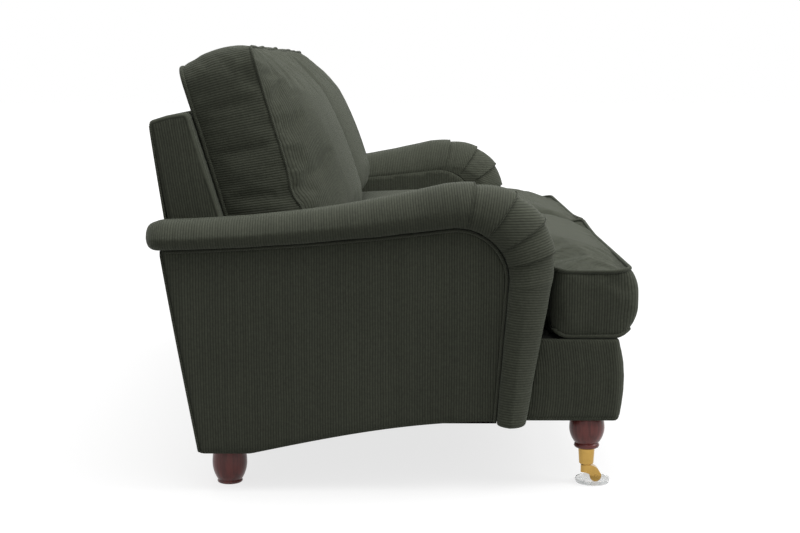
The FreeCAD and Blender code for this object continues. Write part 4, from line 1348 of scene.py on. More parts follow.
def base_cover():
    """Cloth round the front and sides of the base."""
    cover = Cover()
    low_heights = [138.0, 139.0, 140.5, 142.5, 144.6, 145.4, 146.2, 147.2, 149.0]
    high_heights = [300, 302, 304, 305]
    heights = np.concatenate([low_heights, np.linspace(153, 297, 34), high_heights])
    hem = np.exp(-(((heights - HEM_Z) / 0.9) ** 2)) * 1.3
    places = []
    for z, hem_depth in zip(heights, hem):
        row = []
        for x, y, a in border_line(column_front(min(z, 303.0)) - COLUMN_GAP):
            blend = math.sin(a) ** 2
            depth = border_side_depth(z) * (1 - blend) + border_depth(z) * blend + hem_depth
            row.append((x - depth * math.cos(a), y + depth * math.sin(a), z))
        row = np.array(row)
        mirrored = row[::-1][1:] * np.array([-1.0, 1.0, 1.0])
        places.append(np.vstack([row, mirrored]))
    places = np.array(places)
    middle = places[len(heights) // 2]
    centre = len(middle) // 2
    cloth = []
    for row, z in zip(places, heights):
        steps = np.linalg.norm(np.diff(row[:, :2], axis=0), axis=1)
        along = np.concatenate([[0], np.cumsum(steps)])
        cloth.append(np.stack([along - along[centre], np.full(len(along), z)], 1))
    cover.grid(places, np.stack(cloth))
    # The cloth turns in over the rails at the top and bottom.
    inner_x = np.clip(middle[:, 0], 1.0 - X_RAIL, X_RAIL - 1.0)
    at_side = np.abs(middle[:, 0]) > X_BASE - 2.0
    inner_y = np.where(at_side, np.maximum(middle[:, 1], Y_LIP), Y_LIP)
    low, high = (np.stack([inner_x, inner_y, np.full(len(middle), z)], 1) for z in (BASE_BOTTOM, DECK_TOP))
    for row, edge in ((places[0], low), (places[-1], high)):
        rows = np.stack([row, 0.5 * (row + edge), edge])
        turned = [np.stack([along, np.full(len(along), edge[0, 2] + 6.0 * k)], 1) for k in range(3)]
        cover.grid(rows, np.stack(turned))
    cover.grid(np.stack([low, high]), np.stack([np.stack([along, 0 * along], 1)] * 2))
    for end in (0, -1):
        face = np.vstack([places[:, end], high[end], low[end]])
        cover.add(face, face[:, 1:], [list(range(len(face)))])
    return cover


def base_share(points):
    """How uneven the base's cover may be at each point: not at all near its top and hem."""
    return np.clip(np.minimum(points[:, 2] - 150.0, 300.0 - points[:, 2]) / 30.0, 0, 1)


class SOFA_OT_base(bpy.types.Operator):
    """Padded border round the front and sides of the base"""

    bl_idname = "sofa.base"
    bl_label = "Base border"

    def execute(self, context):
        piece = base_cover().build("base_border_cover", finish("cover_fabric"))
        soften(piece, 1.3, 70.0, 4.0, base_share)
        fit(piece, "frame", ["front_border", *both_sides("side_border")])
        return {"FINISHED"}


# Back


def back_outline(foot, step):
    """Section through the padded back from a height up, as (depth, height) points."""
    corners = [
        (pad_y(foot), foot, 0.0),
        (pad_y(PAD_TOP) + 1.0, PAD_TOP - 3.0, 11.0),
        (Y_REAR - 34.0, PAD_TOP - 9.0, 30.0),
        (Y_REAR + 4.5, BACK_HEIGHT - 1.0, 9.0),
        (rear_y(BACK_EDGE) + 4.5, BACK_EDGE, 0.0),
        (frame_y(foot) + 6.0, foot, 0.0),
    ]
    return rounded_outline(corners, step)


def drawn_in(outline, outward, amount):
    """The outline moved inwards. Points that would cross go to the nearest that don't."""
    moved = outline - outward * amount
    good = np.flatnonzero(edge_distance(moved, outline) > amount - 0.4)
    apart = np.linalg.norm(moved[good] - moved[np.roll(good, -1)], axis=1)
    good = good[apart > 1.5]
    count = len(outline)
    nearest = []
    for i in range(count):
        gap = np.abs(good - i)
        nearest.append(good[np.argmin(np.minimum(gap, count - gap))])
    return moved[nearest], moved[good]


def add_padded_top(cover):
    """Part of the back above the arms, with its rounded ends and the cheeks that close them."""
    step = 6.0
    radius = 9.0
    outline = back_outline(512.0, step)
    outward = outward_of(outline)
    half = X_BACK - radius
    line = []
    for i in range(8):
        a = 0.5 * math.pi * i / 7
        line.append((X_BACK - radius * (1 - math.cos(a)), radius * (1 - math.sin(a))))
    line += [(half - half * i / 50, 0.0) for i in range(1, 51)]
    line += [(-x, inset) for x, inset in line[::-1][1:]]
    ring = np.r_[0 : len(outline), 0]
    around = np.arange(len(ring)) * step
    rows = []
    cloth = []
    for x, inset in line:
        section = drawn_in(outline, outward, inset)[0]
        rows.append(across_at(x, section[ring]))
        cloth.append(np.column_stack([np.full(len(ring), x), around]))
    cover.grid(np.array(rows), np.array(cloth))
    section = drawn_in(outline, outward, radius)[1]
    points, triangles = fill_outline(section, 7.0)
    swell = 1.4 * (1 - np.exp(-edge_distance(points, section) / 18.0))
    rake = points[:, 0] - BACK_RAKE * points[:, 1]
    for side in (-1, 1):
        places = np.column_stack([side * (X_BACK + swell), points])
        cover.add(places, np.column_stack([rake, points[:, 1]]), triangles)


def add_padded_foot(cover):
    """Part of the back between the arms, under the padded top."""
    step = 14.0
    top = 516.0
    corners = [
        (pad_y(DECK_TOP), DECK_TOP, 0.0),
        (pad_y(top), top, 0.0),
        (frame_y(top), top, 0.0),
        (frame_y(DECK_TOP), DECK_TOP, 0.0),
    ]
    section = rounded_outline(corners, step)
    ring = np.r_[0 : len(section), 0]
    around = np.arange(len(ring)) * step
    xs = np.linspace(-X_IN + 0.5, X_IN - 0.5, 61)
    rows = np.stack([across_at(x, section[ring]) for x in xs])
    spots = np.stack([np.column_stack([np.full(len(ring), x), around]) for x in xs])
    cover.grid(rows, spots)
    points, triangles = fill_outline(section, step)
    for x in (xs[0], xs[-1]):
        cover.add(across_at(x, points), points, triangles)


def back_cover():
    """Cloth of the padded back, with its two cheeks over the arms."""
    cover = Cover()
    add_padded_top(cover)
    add_padded_foot(cover)
    return cover


def outside_back_cover():
    """Cloth of the panel behind the back."""
    step_z = REAR_WELT_Z - 4.0
    corners = [
        (-X_WELT, REAR_BOTTOM, 5.0),
        (X_WELT, REAR_BOTTOM, 5.0),
        (X_WELT, step_z, 8.0),
        (X_BACK, step_z, 5.0),
        (X_BACK, BACK_EDGE, 6.0),
        (-X_BACK, BACK_EDGE, 6.0),
        (-X_BACK, step_z, 5.0),
        (-X_WELT, step_z, 8.0),
    ]

    def place(x, z, lift):
        return np.column_stack([x, rear_y(z) - 0.6 + lift + rear_fullness(z), z])

    step = 14.0
    outline = rounded_outline(corners, step)
    cover = Cover()
    padded_panel(cover, outline, place, thickness=5.2, puff=2.4, reach=45.0, step=step, rounding=1.0)
    return cover


def webbing_cover():
    """Upright straps inside the back."""
    low, high = nodes_box("back_webbing")
    count = 9
    half = 25.0
    depth = 47.0

    def place(x, z, lift):
        return np.column_stack([x, frame_y(z) - depth - lift, z])

    cover = Cover()
    for i in range(count):
        x = low[0] + half + (high[0] - low[0] - 2 * half) * i / (count - 1)
        corners = [
            (x - half, low[2], 1.0),
            (x + half, low[2], 1.0),
            (x + half, high[2], 1.0),
            (x - half, high[2], 1.0),
        ]
        strap = rounded_outline(corners, 10.0)
        padded_panel(cover, strap, place, thickness=1.8, puff=0.15, reach=8.0, step=12.0, rounding=0.2)
    return cover


class SOFA_OT_back(bpy.types.Operator):
    """Padded back, the panel behind it and the webbing inside"""

    bl_idname = "sofa.back"
    bl_label = "Back"

    def execute(self, context):
        piece = back_cover().build("back_cover", finish("cover_fabric"))
        fit(piece, "frame", ["inside_back_pad"])
        piece = outside_back_cover().build("back_outer_cover", finish("cover_fabric"))
        fit(piece, "frame", ["outside_back_panel"])
        piece = webbing_cover().build("back_webbing_straps", finish("webbing"))
        fit(piece, "frame", ["back_webbing"])
        return {"FINISHED"}


def nodes_box(name):
    """Corners of a frame piece in millimetres."""
    low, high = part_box(name)
    return np.array(low) / MM, np.array(high) / MM


# Cushions


def shoulder_share(distance, reach):
    """Share of a crown's height at a distance from its seam."""
    return 1 - np.exp(-1.27 * distance / reach)


def seat_crown(y):
    """Height of a seat cushion's crown over its underside at a depth."""
    ahead = np.clip((CROWN_Y - y) / 217.0, 0, 1.15)
    behind = np.clip((y - CROWN_Y) / 525.4, 0, 1.0)
    return np.where(y < CROWN_Y, SEAT_CROWN - 46.0 * ahead**3.2, SEAT_CROWN - 27.0 * behind**1.5)


def puckers(along, seed, length=26.0):
    """Uneven pull along a seam, from about -1 to 1."""
    coarse = [noise.noise(Vector((s / length, seed, 0.3))) for s in along]
    fine = [noise.noise(Vector((s / (0.45 * length), seed, 9.1))) for s in along]
    return np.array(coarse) + 0.7 * np.array(fine)


def seam_pull(points, outline, seed, reach, depth):
    """Small folds that run in from a seam and die out."""
    pull = puckers(distances_along(outline, len(outline)), seed)
    best = np.full(len(points), 1e9)
    value = np.zeros(len(points))
    for place, amount in zip(outline, pull):
        distance = np.linalg.norm(points - place, axis=1)
        nearer = distance < best
        best = np.where(nearer, distance, best)
        value = np.where(nearer, amount, value)
    fade = np.exp(-best / reach) * (1 - np.exp(-best / 5.0))
    return value * fade * depth


def seat_outline(step):
    """Seam line of a seat cushion that reaches round the front of the arm."""
    corners = [
        (CUSHION_EDGE, SEAT_BACK, 12.0),
        (CUSHION_EDGE, SEAT_FRONT, 15.0),
        (EAR_SIDE, SEAT_FRONT, 27.0),
        (EAR_SIDE, EAR_BACK, 15.0),
        (SEAT_SIDE, EAR_BACK, 10.0),
        (SEAT_SIDE, SEAT_BACK, 20.0),
    ]
    return rounded_outline(corners, step)


def near(values, place, reach):
    """One at a place, fading to nought beyond its reach."""
    return np.exp(-(((values - place) / reach) ** 2))


def rear_drop(y):
    """How far the upper seam comes down at the rear of a seat cushion."""
    return SEAM_DROP * np.clip((y - 190.0) / 80.0, 0, 1)


def seat_seams(outline):
    """Heights of the upper and lower seam along the outline."""
    x = outline[:, 0]
    y = outline[:, 1]
    on_ear = x > 800.0
    upper = SEAT_SEAM + SEAM_RISE * np.clip(1 - x / 260.0, 0, 1) ** 1.3
    upper += 5.0 * near(y, SEAT_FRONT, 22.0)
    upper += 5.0 * near(y, EAR_BACK, 18.0) * on_ear
    upper -= rear_drop(y)
    lower = LOWER_SEAM + 12.0 * near(y, SEAT_FRONT, 16.0)
    lower += 11.0 * near(y, EAR_BACK, 13.0) * on_ear
    return upper, lower


def seat_cover(seed):
    """Seat cushion before it is filled, with its two seam lines."""
    cover = Cover()
    step = sizes().mesh_step / MM
    outline = seat_outline(step)
    upper, lower = seat_seams(outline)
    normal = outward_of(outline)
    points, triangles = fill_outline(outline, step)
    count = len(outline)
    distance = edge_distance(points, outline)
    # Top
    seam = np.interp(points[:, 0], [0.0, 260.0, 860.0], [SEAT_SEAM + SEAM_RISE, SEAT_SEAM, SEAT_SEAM])
    seam -= rear_drop(points[:, 1])
    seam[:count] = upper
    crown = np.maximum(seat_crown(points[:, 1]) - 3.0, seam + 2.0)
    height = seam + (crown - seam) * shoulder_share(distance, 115.0)
    height += seam_pull(points, outline, seed, 38.0, 2.6)
    top = np.column_stack([points, SEAT_BOTTOM + height])
    top[:count, 2] = SEAT_BOTTOM + upper
    cover.add(top, points, triangles)
    # Underside
    height = np.maximum(SEAT_REST, LOWER_SEAM * np.exp(-distance / 7.0))
    bottom = np.column_stack([points, SEAT_BOTTOM + height])
    bottom[:count, 2] = SEAT_BOTTOM + lower
    cover.add(bottom, points, [f[::-1] for f in triangles])
    # Boxing
    ring = np.r_[0:count, 0]
    along = distances_along(outline, count + 1)
    wrinkle = puckers(along[:-1], seed + 5.0, 34.0)
    bulge = 2.8 + 15.5 * np.clip(-normal[:, 1], 0, 1) ** 2
    bulge = np.where(normal[:, 0] < -0.7, 3.6, bulge)
    rows = []
    cloth = []
    levels = 12
    for i in range(levels + 1):
        t = i / levels
        swell = math.sin(math.pi * t)
        out = bulge * swell**0.75
        out = out + wrinkle * 1.3 * swell * np.clip(bulge / 6.0, 0.25, 1.0)
        z = lower + (upper - lower) * t
        row = np.column_stack([outline + normal * out[:, None], SEAT_BOTTOM + z])
        rows.append(row[ring])
        cloth.append(np.column_stack([along, z[ring]]))
    cover.grid(np.array(rows), np.array(cloth))
    return cover, [np.column_stack([outline, SEAT_BOTTOM + z]) for z in (upper, lower)]


def keep_seat(points):
    """Keeps a seat cushion in its own space, in millimetres for the right-hand side."""
    x, y, z = points.T
    x = np.clip(x, 0.6, EAR_SIDE + 5.5)
    y = np.clip(y, Y_FRONT, SEAT_BACK + 4.8)
    beside_arm = (y > -312.0) & (x > 700.0)
    x = np.where(beside_arm, np.minimum(x, SEAT_SIDE + 5.0), x)
    before_arm = (x > 747.0) & (y > -330.0)
    y = np.where(before_arm, np.minimum(y, EAR_BACK + 5.5), y)
    return np.column_stack([x, y, np.maximum(z, SEAT_BOTTOM)])


def back_place(x, u, v):
    """Place of a point on the leaning back cushion: across, up the back and out from it."""
    y = Y_REAR - PAD_DEPTH + math.sin(BACK_LEAN) * u - math.cos(BACK_LEAN) * v
    z = PAD_TOP + math.cos(BACK_LEAN) * u + math.sin(BACK_LEAN) * v
    return np.column_stack([x, y, z])


def back_foot(v):
    """How far down the back the cushion's underside lies, at a distance out from the back."""
    return BACK_FOOT - FOOT_SLOPE * v


def up_back(v, part):
    """How far up the back a point lies, from its share of the cushion's height."""
    foot = back_foot(v)
    return foot + (BACK_TOP - foot) * part


def back_outline_flat(step):
    """Seam line of a back cushion as (across, up the panel) points."""
    corners = [
        (CUSHION_EDGE, 0.0, 24.0),
        (BACK_SIDE, 0.0, 24.0),
        (BACK_SIDE, BACK_PANEL, 40.0),
        (CUSHION_EDGE, BACK_PANEL, 40.0),
    ]
    line = rounded_outline(corners, step)
    share = line[:, 1] / BACK_PANEL
    pull = 8.0 * (1 - (2 * share - 1) ** 2)
    middle = 0.5 * (CUSHION_EDGE + BACK_SIDE)
    side = np.clip((line[:, 0] - middle) / 300.0, -1, 1)
    line[:, 0] -= pull * np.sign(side) * np.clip(np.abs(side) - 0.7, 0, 0.3) / 0.3
    return line


def top_gather(along, share, seed):
    """How far the gathered front seam rises, mostly along the top of the cushion."""
    return 4.5 * puckers(along, seed + 8.0, 230.0) * np.clip(share * 3.0 - 2.0, 0.2, 1)


def foot_kink(outline):
    """How far the outer front seam is pulled out of line just above the arm."""
    up = outline[:, 1] - FOLD_FOOT[1]
    kink = 6.0 * near(up, -14.0, 16.0) - 5.0 * near(up, 26.0, 30.0)
    return kink * (outline[:, 0] > 600.0)


def foot_fold(points):
    """Depth of the fold that runs in from that kink, and the points along its bottom."""
    step = points - np.array(FOLD_FOOT)
    inward, upward = FOLD_WAY
    along = inward * step[:, 0] + upward * step[:, 1]
    aside = upward * step[:, 0] - inward * step[:, 1]
    fade = np.clip(1 - along / 85.0, 0, 1) * near(np.minimum(along, 0), 0.0, 10.0)
    depth = 12.0 * near(aside, 0.0, 10.0) - 3.5 * near(np.abs(aside), 24.0, 11.0)
    bottom = (np.abs(aside) < 8.0) & (along > 4.0) & (along < 60.0)
    return depth * fade, bottom


def back_front_panel(points, outline, seed):
    """Places of the swelling front panel, and which of them lie along its fold."""
    count = len(outline)
    share = points[:, 1] / BACK_PANEL
    u = up_back(np.full(len(points), BOXING), share)
    below = np.clip((BACK_TOP - u) / 325.0, 0, 1.35)
    rise = BACK_CROWN * np.sin(0.5 * math.pi * below**0.62)
    narrow = np.clip(np.minimum(points[:, 0] - CUSHION_EDGE, BACK_SIDE - points[:, 0]), 0, None)
    across = shoulder_share(narrow, 130.0) / float(shoulder_share(np.array(366.0), 130.0))
    low = np.clip(points[:, 1] / 62.0, 0, 1)
    out = rise * across * np.sqrt(1 - (1 - low) ** 2)
    out += seam_pull(points, outline, seed, 46.0, 4.0)
    fold, bottom = foot_fold(points)
    out -= fold
    out[:count] = 0.0
    bottom[:count] = False
    v = BOXING + out
    u = u - FOOT_SLOPE * out * (1 - share) ** 3
    gather = top_gather(distances_along(outline, count), share[:count], seed)
    u[:count] += gather
    v[:count] += 0.8 * gather + foot_kink(outline)
    return back_place(points[:, 0], u, v), bottom


def back_cushion_cover(seed):
    """Back cushion before it is filled, with its two seam lines and the line of its fold."""
    cover = Cover()
    step = sizes().mesh_step / MM
    outline = back_outline_flat(step)
    normal = outward_of(outline)
    count = len(outline)
    points, triangles = fill_outline(outline, step)
    front, bottom = back_front_panel(points, outline, seed)
    cover.add(front, points, triangles)
    # Rear panel
    v = np.maximum(0.4, REAR_SEAM * np.exp(-edge_distance(points, outline) / 8.0))
    rear = back_place(points[:, 0], up_back(v, points[:, 1] / BACK_PANEL), v)
    cover.add(rear, points, [f[::-1] for f in triangles])
    # Boxing
    ring = np.r_[0:count, 0]
    along = distances_along(outline, count + 1)
    wrinkle = puckers(along[:-1], seed + 3.0, 40.0)
    swell = 3.5 + 8.5 * np.clip(normal[:, 1], 0, 1) ** 2
    share = outline[:, 1] / BACK_PANEL
    rows = []
    cloth = []
    levels = 14
    for i in range(levels + 1):
        t = i / levels
        v = REAR_SEAM + (BOXING - REAR_SEAM) * t
        middle = math.sin(math.pi * t)
        out = swell * middle**0.8 + wrinkle * 1.6 * middle
        x = outline[:, 0] + normal[:, 0] * out
        u = up_back(np.full(count, v), share) + np.maximum(normal[:, 1], 0) * out
        gather = t**3 * top_gather(along[:-1], share, seed)
        row = back_place(x, u + gather, v + 0.8 * gather + t**3 * foot_kink(outline))
        rows.append(row[ring])
        cloth.append(np.column_stack([along, np.full(count + 1, v)]))
    cover.grid(np.array(rows), np.array(cloth))
    return cover, (rows[-1][:-1], rows[0][:-1], front[bottom])


def keep_back(points):
    """Keeps a back cushion in its own space, in millimetres for the right-hand side."""
    x = np.clip(points[:, 0], 0.6, BACK_SIDE + 7.5)
    y = points[:, 1] - (Y_REAR - PAD_DEPTH)
    z = points[:, 2] - PAD_TOP
    u = math.sin(BACK_LEAN) * y + math.cos(BACK_LEAN) * z
    v = -math.cos(BACK_LEAN) * y + math.sin(BACK_LEAN) * z
    v = np.maximum(v, 0.4)
    return back_place(x, np.maximum(u, back_foot(v)), v)


def stuffed_places(piece, held_places, cap):
    """Places of a cover's points after it is filled under pressure, with some points held."""
    start = read_places(piece.data)
    held = piece.vertex_groups.new(name="seams")
    spots = {tuple(np.round(p, 4)) for p in held_places}
    held.add([i for i, p in enumerate(start) if tuple(np.round(p, 4)) in spots], 1.0, "REPLACE")
    modifier = piece.modifiers.new("stuffing", "CLOTH")
    cloth = modifier.settings
    cloth.quality = 5
    cloth.mass = 0.25
    cloth.tension_stiffness = 18.0
    cloth.compression_stiffness = 18.0
    cloth.shear_stiffness = 6.0
    cloth.bending_stiffness = 0.6
    cloth.use_pressure = True
    cloth.uniform_pressure_force = sizes().stuffing
    cloth.effector_weights.gravity = 0.0
    cloth.vertex_group_mass = "seams"
    cloth.shrink_min = -sizes().slack
    modifier.point_cache.frame_start = 1
    modifier.point_cache.frame_end = FILL_FRAMES
    scene = bpy.context.scene
    for number in range(1, FILL_FRAMES + 1):
        scene.frame_set(number)
    graph = bpy.context.evaluated_depsgraph_get()
    places = read_places(piece.evaluated_get(graph).to_mesh())
    piece.evaluated_get(graph).to_mesh_clear()
    piece.modifiers.remove(modifier)
    piece.vertex_groups.clear()
    scene.frame_set(1)
    move = places - start
    length = np.linalg.norm(move, axis=1)
    shorter = np.minimum(1.0, cap * MM / np.maximum(length, 1e-9))
    return start + move * shorter[:, None]


def stuff(piece, seams, side, cap, keep):
    """Fills a sewn cover, with its seams held, and keeps it in its own space."""
    turned = np.array([side, 1.0, 1.0])
    places = stuffed_places(piece, np.concatenate(seams) * MM * turned, cap)
    write_places(piece.data, keep(places / MM * turned) * MM * turned)
    divided = piece.modifiers.new("smooth", "SUBSURF")
    divided.levels = 1
    divided.render_levels = 1


def build_cushion(part, side_name, side, cover, seams, cap, keep, pipings):
    """A filled cushion with piping, each given as its (name, seam, radius), on the cushion's body."""
    body = f"{part}_{side_name}"
    piece = cover.build(f"{part}_cover_{side_name}", finish("cover_fabric"), side)
    stuff(piece, seams, side, cap, keep)
    fit(piece, body, [body])
    for label, seam, radius in pipings:
        line = seam * np.array([side, 1.0, 1.0])
        cord = piping(f"{part}_piping_{label}_{side_name}", line, radius, True)
        fit(cord, body)


class SOFA_OT_seat_cushions(bpy.types.Operator):
    """Two loose seat cushions with their piping"""

    bl_idname = "sofa.seat_cushions"
    bl_label = "Seat cushions"

    def execute(self, context):
        radius = sizes().cushion_piping
        for name, side in SIDES:
            cover, seams = seat_cover(11.0 + side)
            pipings = (("upper", seams[0], radius), ("lower", seams[1], radius))
            build_cushion(
                "seat_cushion", name, side, cover, seams, SEAT_SWELL, keep_seat, pipings
            )
        return {"FINISHED"}


class SOFA_OT_back_cushions(bpy.types.Operator):
    """Two loose back cushions with their piping"""

    bl_idname = "sofa.back_cushions"
    bl_label = "Back cushions"

    def execute(self, context):
        radius = sizes().cushion_piping
        for name, side in SIDES:
            cover, seams = back_cushion_cover(23.0 + 2 * side)
            pipings = (("front", seams[0], 0.7 * radius), ("rear", seams[1], 1.15 * radius))
            build_cushion(
                "back_cushion", name, side, cover, seams, BACK_SWELL, keep_back, pipings
            )
        return {"FINISHED"}


# Deck and underside


def underside_line():
    """Line under the base from the front border to the rear, as (depth, height) points."""
    points = [(y, min(BASE_BOTTOM, z)) for y, z in arch() if y > Y_FRONT + 242.0]
    start = [(Y_LIP + (points[0][0] - Y_LIP) * i / 16, BASE_BOTTOM) for i in range(16)]
    return np.array(start + points)


def deck_cover():
    """Cloth over the seat deck, wider in front of the arms."""
    y_ear = column_front(300.0) - 2.0
    y_back = pad_y(DECK_TOP) - 0.5
    x_in = X_IN - 0.5
    corners = [
        (-X_RAIL, Y_LIP + 0.5, 2.0),
        (X_RAIL, Y_LIP + 0.5, 2.0),
        (X_RAIL, y_ear, 3.0),
        (x_in, y_ear, 2.0),
        (x_in, y_back, 4.0),
        (-x_in, y_back, 4.0),
        (-x_in, y_ear, 2.0),
        (-X_RAIL, y_ear, 3.0),
    ]

    def place(x, y, lift):
        return np.column_stack([x, y, DECK_TOP - 1.2 + lift])

    step = 16.0
    outline = rounded_outline(corners, step)
    cover = Cover()
    padded_panel(cover, outline, place, thickness=16.5, puff=1.0, reach=30.0, step=step, rounding=0.8)
    return cover


def dust_cover(line, along, wing):
    """Thin cloth stretched under the frame, with the wings that it has under the arms."""
    cover = Cover()
    sag = np.sin(math.pi * along / along[-1]) * 1.5
    hung = line + np.array([0.0, 0.4])
    rows = []
    cloth = []
    for x in np.linspace(-X_RAIL, X_RAIL, 57):
        slack = 0.35 * (1 - (x / X_RAIL) ** 2) + 0.2 * math.sin(x / 47.0)
        rows.append(np.column_stack([np.full(len(line), x), hung[:, 0], hung[:, 1] + slack * sag]))
        cloth.append(np.column_stack([np.full(len(line), x), along]))
    cover.grid(np.array(rows), np.array(cloth))
    for side in (-1, 1):
        strips = [across_at(side * x, hung[-wing:]) for x in (X_RAIL, 867.0, X_FRAME)]
        spots = [np.column_stack([strip[:, 0], along[-wing:]]) for strip in strips]
        cover.grid(np.array(strips), np.array(spots))
    return cover


def staple_edges(line):
    """Lines along which the dust cover is stapled, in millimetres."""
    edges = [[(side * 842.0, y, z - 0.1) for y, z in line[2:-2]] for side in (-1, 1)]
    edges.append([(x, Y_LIP + 10.0, BASE_BOTTOM - 0.1) for x in np.linspace(-820, 820, 20)])
    y_rear = frame_y(REAR_BOTTOM) - 12.0
    edges.append([(x, y_rear, REAR_BOTTOM - 0.1) for x in np.linspace(-870, 870, 20)])
    return edges


class SOFA_OT_deck(bpy.types.Operator):
    """Seat deck, dust cover and its staples"""

    bl_idname = "sofa.deck"
    bl_label = "Deck and dust cover"

    def execute(self, context):
        piece = deck_cover().build("seat_deck_cover", finish("deck_fabric"))
        fit(piece, "frame", ["seat_deck"])

        line = underside_line()
        along = np.concatenate([[0], np.cumsum(np.linalg.norm(np.diff(line, axis=0), axis=1))])
        wing = int(np.sum(line[:, 0] >= column_place(COLUMN_BOTTOM)))
        cover = dust_cover(line, along, wing)
        piece = cover.build("dust_cover_sheet", finish("dust_fabric"), closed=False)
        fit(piece, "frame", ["dust_cover"])

        metal_finish = finish("steel")
        values = {"Gap": sizes().staple_gap, "Metal": metal_finish}
        parts = []
        for i, edge in enumerate(staple_edges(line)):
            name = f"staple_row_{i}"
            parts.append(grown(name, staple_tree(), np.array(edge) * MM, False, values, metal_finish))
        fit(joined("dust_cover_staples", parts), "frame")
        return {"FINISHED"}


def joined(name, parts):
    """One object from several with the same finish."""
    work = bmesh.new()
    for part in parts:
        work.from_mesh(part.data)
    mesh = bpy.data.meshes.new(name)
    work.to_mesh(mesh)
    work.free()
    mesh.materials.append(parts[0].data.materials[0])
    for part in parts:
        bpy.data.objects.remove(part)
    return in_scene(name, mesh)


class SOFA_OT_inner_frame(bpy.types.Operator):
    """Finishes of the wooden frame, springs and fixings inside"""

    bl_idname = "sofa.inner_frame"
    bl_label = "Inner frame"

    def execute(self, context):
        wooden = ["front_rail", "rear_seat_rail", "centre_rail", "corner_blocks"]
        wooden += ["back_bottom_rail", "back_top_rail", "back_lower_rail"]
        wooden += both_sides("side_rail") + both_sides("back_post") + both_sides("arm_stump")
        for name in ("arm_top_rail", "arm_bottom_rail", "arm_rear_post"):
            wooden += both_sides(name)
        finish_nodes(wooden, "frame_wood")
        finish_nodes(["seat_springs", "spring_clips", "hanger_bolts", "tee_nuts"], "steel")
        return {"FINISHED"}


class SOFA_OT_legs(bpy.types.Operator):
    """Finish of the turned legs and feet"""

    bl_idname = "sofa.legs"
    bl_label = "Legs and feet"

    def execute(self, context):
        finish_nodes(both_sides("front_leg") + both_sides("rear_foot"), "turned_wood")
        return {"FINISHED"}


class SOFA_OT_casters(bpy.types.Operator):
    """Finish of the brass casters and their clear cups"""

    bl_idname = "sofa.casters"
    bl_label = "Casters"

    def execute(self, context):
        for name in ("ferrule", "stem", "horn", "axle", "wheel"):
            finish_nodes(both_sides("caster_" + name), "brass")
        finish_nodes(both_sides("caster_cup"), "clear_plastic")
        return {"FINISHED"}


# Studio


def seen_directly(tree):
    """One where a camera, mirror or glass ray meets the surface, and nought for its light."""
    path = add_node(tree, "ShaderNodeLightPath")
    first = maths(tree, "MAXIMUM", path.outputs["Is Camera Ray"], path.outputs["Is Glossy Ray"])
    return maths(tree, "MAXIMUM", first, path.outputs["Is Transmission Ray"])


def area_light(name, place, aim, width, depth, power):
    """A soft box that faces a point."""
    lamp = bpy.data.lights.new(name, "AREA")
    lamp.shape = "RECTANGLE"
    lamp.size = width
    lamp.size_y = depth
    lamp.energy = power
    box = in_scene(name, lamp)
    box.location = place
    box.rotation_euler = (Vector(aim) - Vector(place)).to_track_quat("-Z", "Y").to_euler()


def make_floor():
    """Wide pale floor that reads white far from the sofa."""
    mesh = bpy.data.meshes.new("floor")
    r = FLOOR_REACH
    mesh.from_pydata([(-r, -r, 0), (r, -r, 0), (r, r, 0), (-r, r, 0)], [], [(0, 1, 2, 3)])
    material, tree, shader, place = new_material("floor")
    shader.inputs["Base Color"].default_value = rgba(colours().floor)
    shader.inputs["Roughness"].default_value = 0.9
    shader.inputs["Specular IOR Level"].default_value = 0.0
    shader.inputs["Emission Color"].default_value = (1.0, 1.0, 1.0, 1.0)
    away = add_node(tree, "ShaderNodeVectorMath", {0: place}, operation="LENGTH").outputs["Value"]
    limits = {0: away, 1: GLOW_NEAR, 2: GLOW_FAR, 3: FLOOR_GLOW, 4: 1.0}
    far = add_node(tree, "ShaderNodeMapRange", limits).outputs[0]
    tree.links.new(maths(tree, "MULTIPLY", seen_directly(tree), far), shader.inputs["Emission Strength"])
    mesh.materials.append(material)
    return in_scene("floor", mesh)


def make_world(scene):
    """White surroundings that light the sofa less than they show."""
    world = bpy.data.worlds.new("studio")
    scene.world = world
    world.use_nodes = True
    sky = world.node_tree
    background = sky.nodes["Background"]
    strength = maths(sky, "MULTIPLY_ADD", seen_directly(sky), 1.0 - WORLD_LIGHT, WORLD_LIGHT)
    sky.links.new(strength, background.inputs["Strength"])
    background.inputs["Color"].default_value = (1.0, 1.0, 1.0, 1.0)


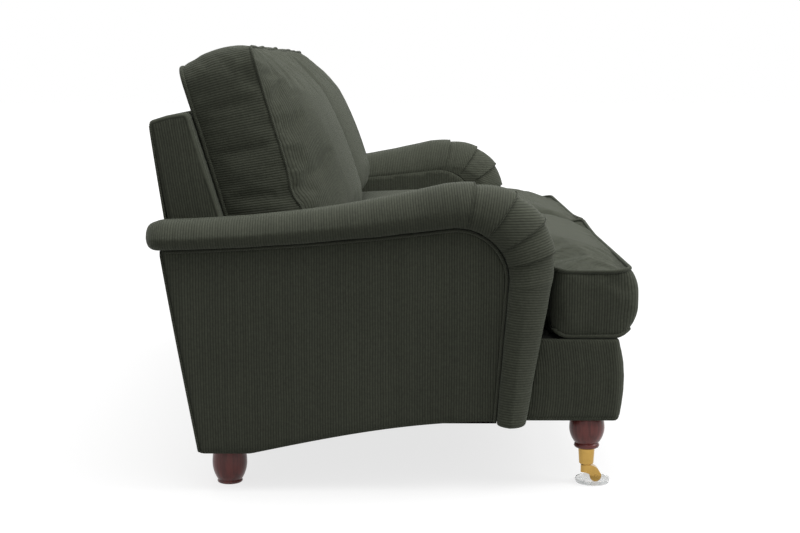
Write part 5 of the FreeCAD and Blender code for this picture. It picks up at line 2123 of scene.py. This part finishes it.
def make_camera(scene):
    """Camera at the photograph's place."""
    lens = bpy.data.cameras.new("photo")
    lens.lens = CAMERA_LENS
    lens.sensor_width = 36.0
    camera = in_scene("photo", lens)
    down = math.radians(CAMERA_DOWN)
    yaw = math.radians(CAMERA_YAW)
    ahead = Vector((math.cos(down) * math.cos(yaw), math.cos(down) * math.sin(yaw), -math.sin(down)))
    right = Vector((math.sin(yaw), -math.cos(yaw), 0.0))
    above = right.cross(ahead)
    camera.location = CAMERA_PLACE
    camera.rotation_euler = Matrix((right, above, -ahead)).transposed().to_euler()
    scene.camera = camera


class SOFA_OT_stage(bpy.types.Operator):
    """Floor, light and camera"""

    bl_idname = "sofa.stage"
    bl_label = "Studio"

    def execute(self, context):
        scene = context.scene
        scene.view_settings.view_transform = "Standard"
        make_floor()
        make_world(scene)
        for light in LIGHTS:
            area_light(*light)
        make_camera(scene)
        return {"FINISHED"}


OPERATORS = (
    SOFA_OT_arm_rolls,
    SOFA_OT_arm_panels,
    SOFA_OT_arm_piping,
    SOFA_OT_base,
    SOFA_OT_back,
    SOFA_OT_deck,
    SOFA_OT_seat_cushions,
    SOFA_OT_back_cushions,
    SOFA_OT_inner_frame,
    SOFA_OT_legs,
    SOFA_OT_casters,
    SOFA_OT_stage,
)


class SOFA_PT_pieces(bpy.types.Panel):
    """Lists the pieces that can be built"""

    bl_label = "Roll arm sofa"
    bl_idname = "SOFA_PT_pieces"
    bl_space_type = "VIEW_3D"
    bl_region_type = "UI"
    bl_category = "Sofa"

    def draw(self, context):
        for group in (context.scene.sofa_sizes, context.scene.sofa_colours):
            for name in group.__annotations__:
                self.layout.prop(group, name)
        for operator in OPERATORS:
            self.layout.operator(operator.bl_idname)


CLASSES = (SofaSizes, SofaColours, *OPERATORS, SOFA_PT_pieces)


def register():
    for item in CLASSES:
        bpy.utils.register_class(item)
    bpy.types.Scene.sofa_sizes = bpy.props.PointerProperty(type=SofaSizes)
    bpy.types.Scene.sofa_colours = bpy.props.PointerProperty(type=SofaColours)


def unregister():
    del bpy.types.Scene.sofa_colours
    del bpy.types.Scene.sofa_sizes
    for item in reversed(CLASSES):
        bpy.utils.unregister_class(item)


def main():
    """Builds every piece and the studio."""
    register()
    for operator in OPERATORS:
        group, name = operator.bl_idname.split(".")
        getattr(getattr(bpy.ops, group), name)()


if __name__ == "__main__":
    main()
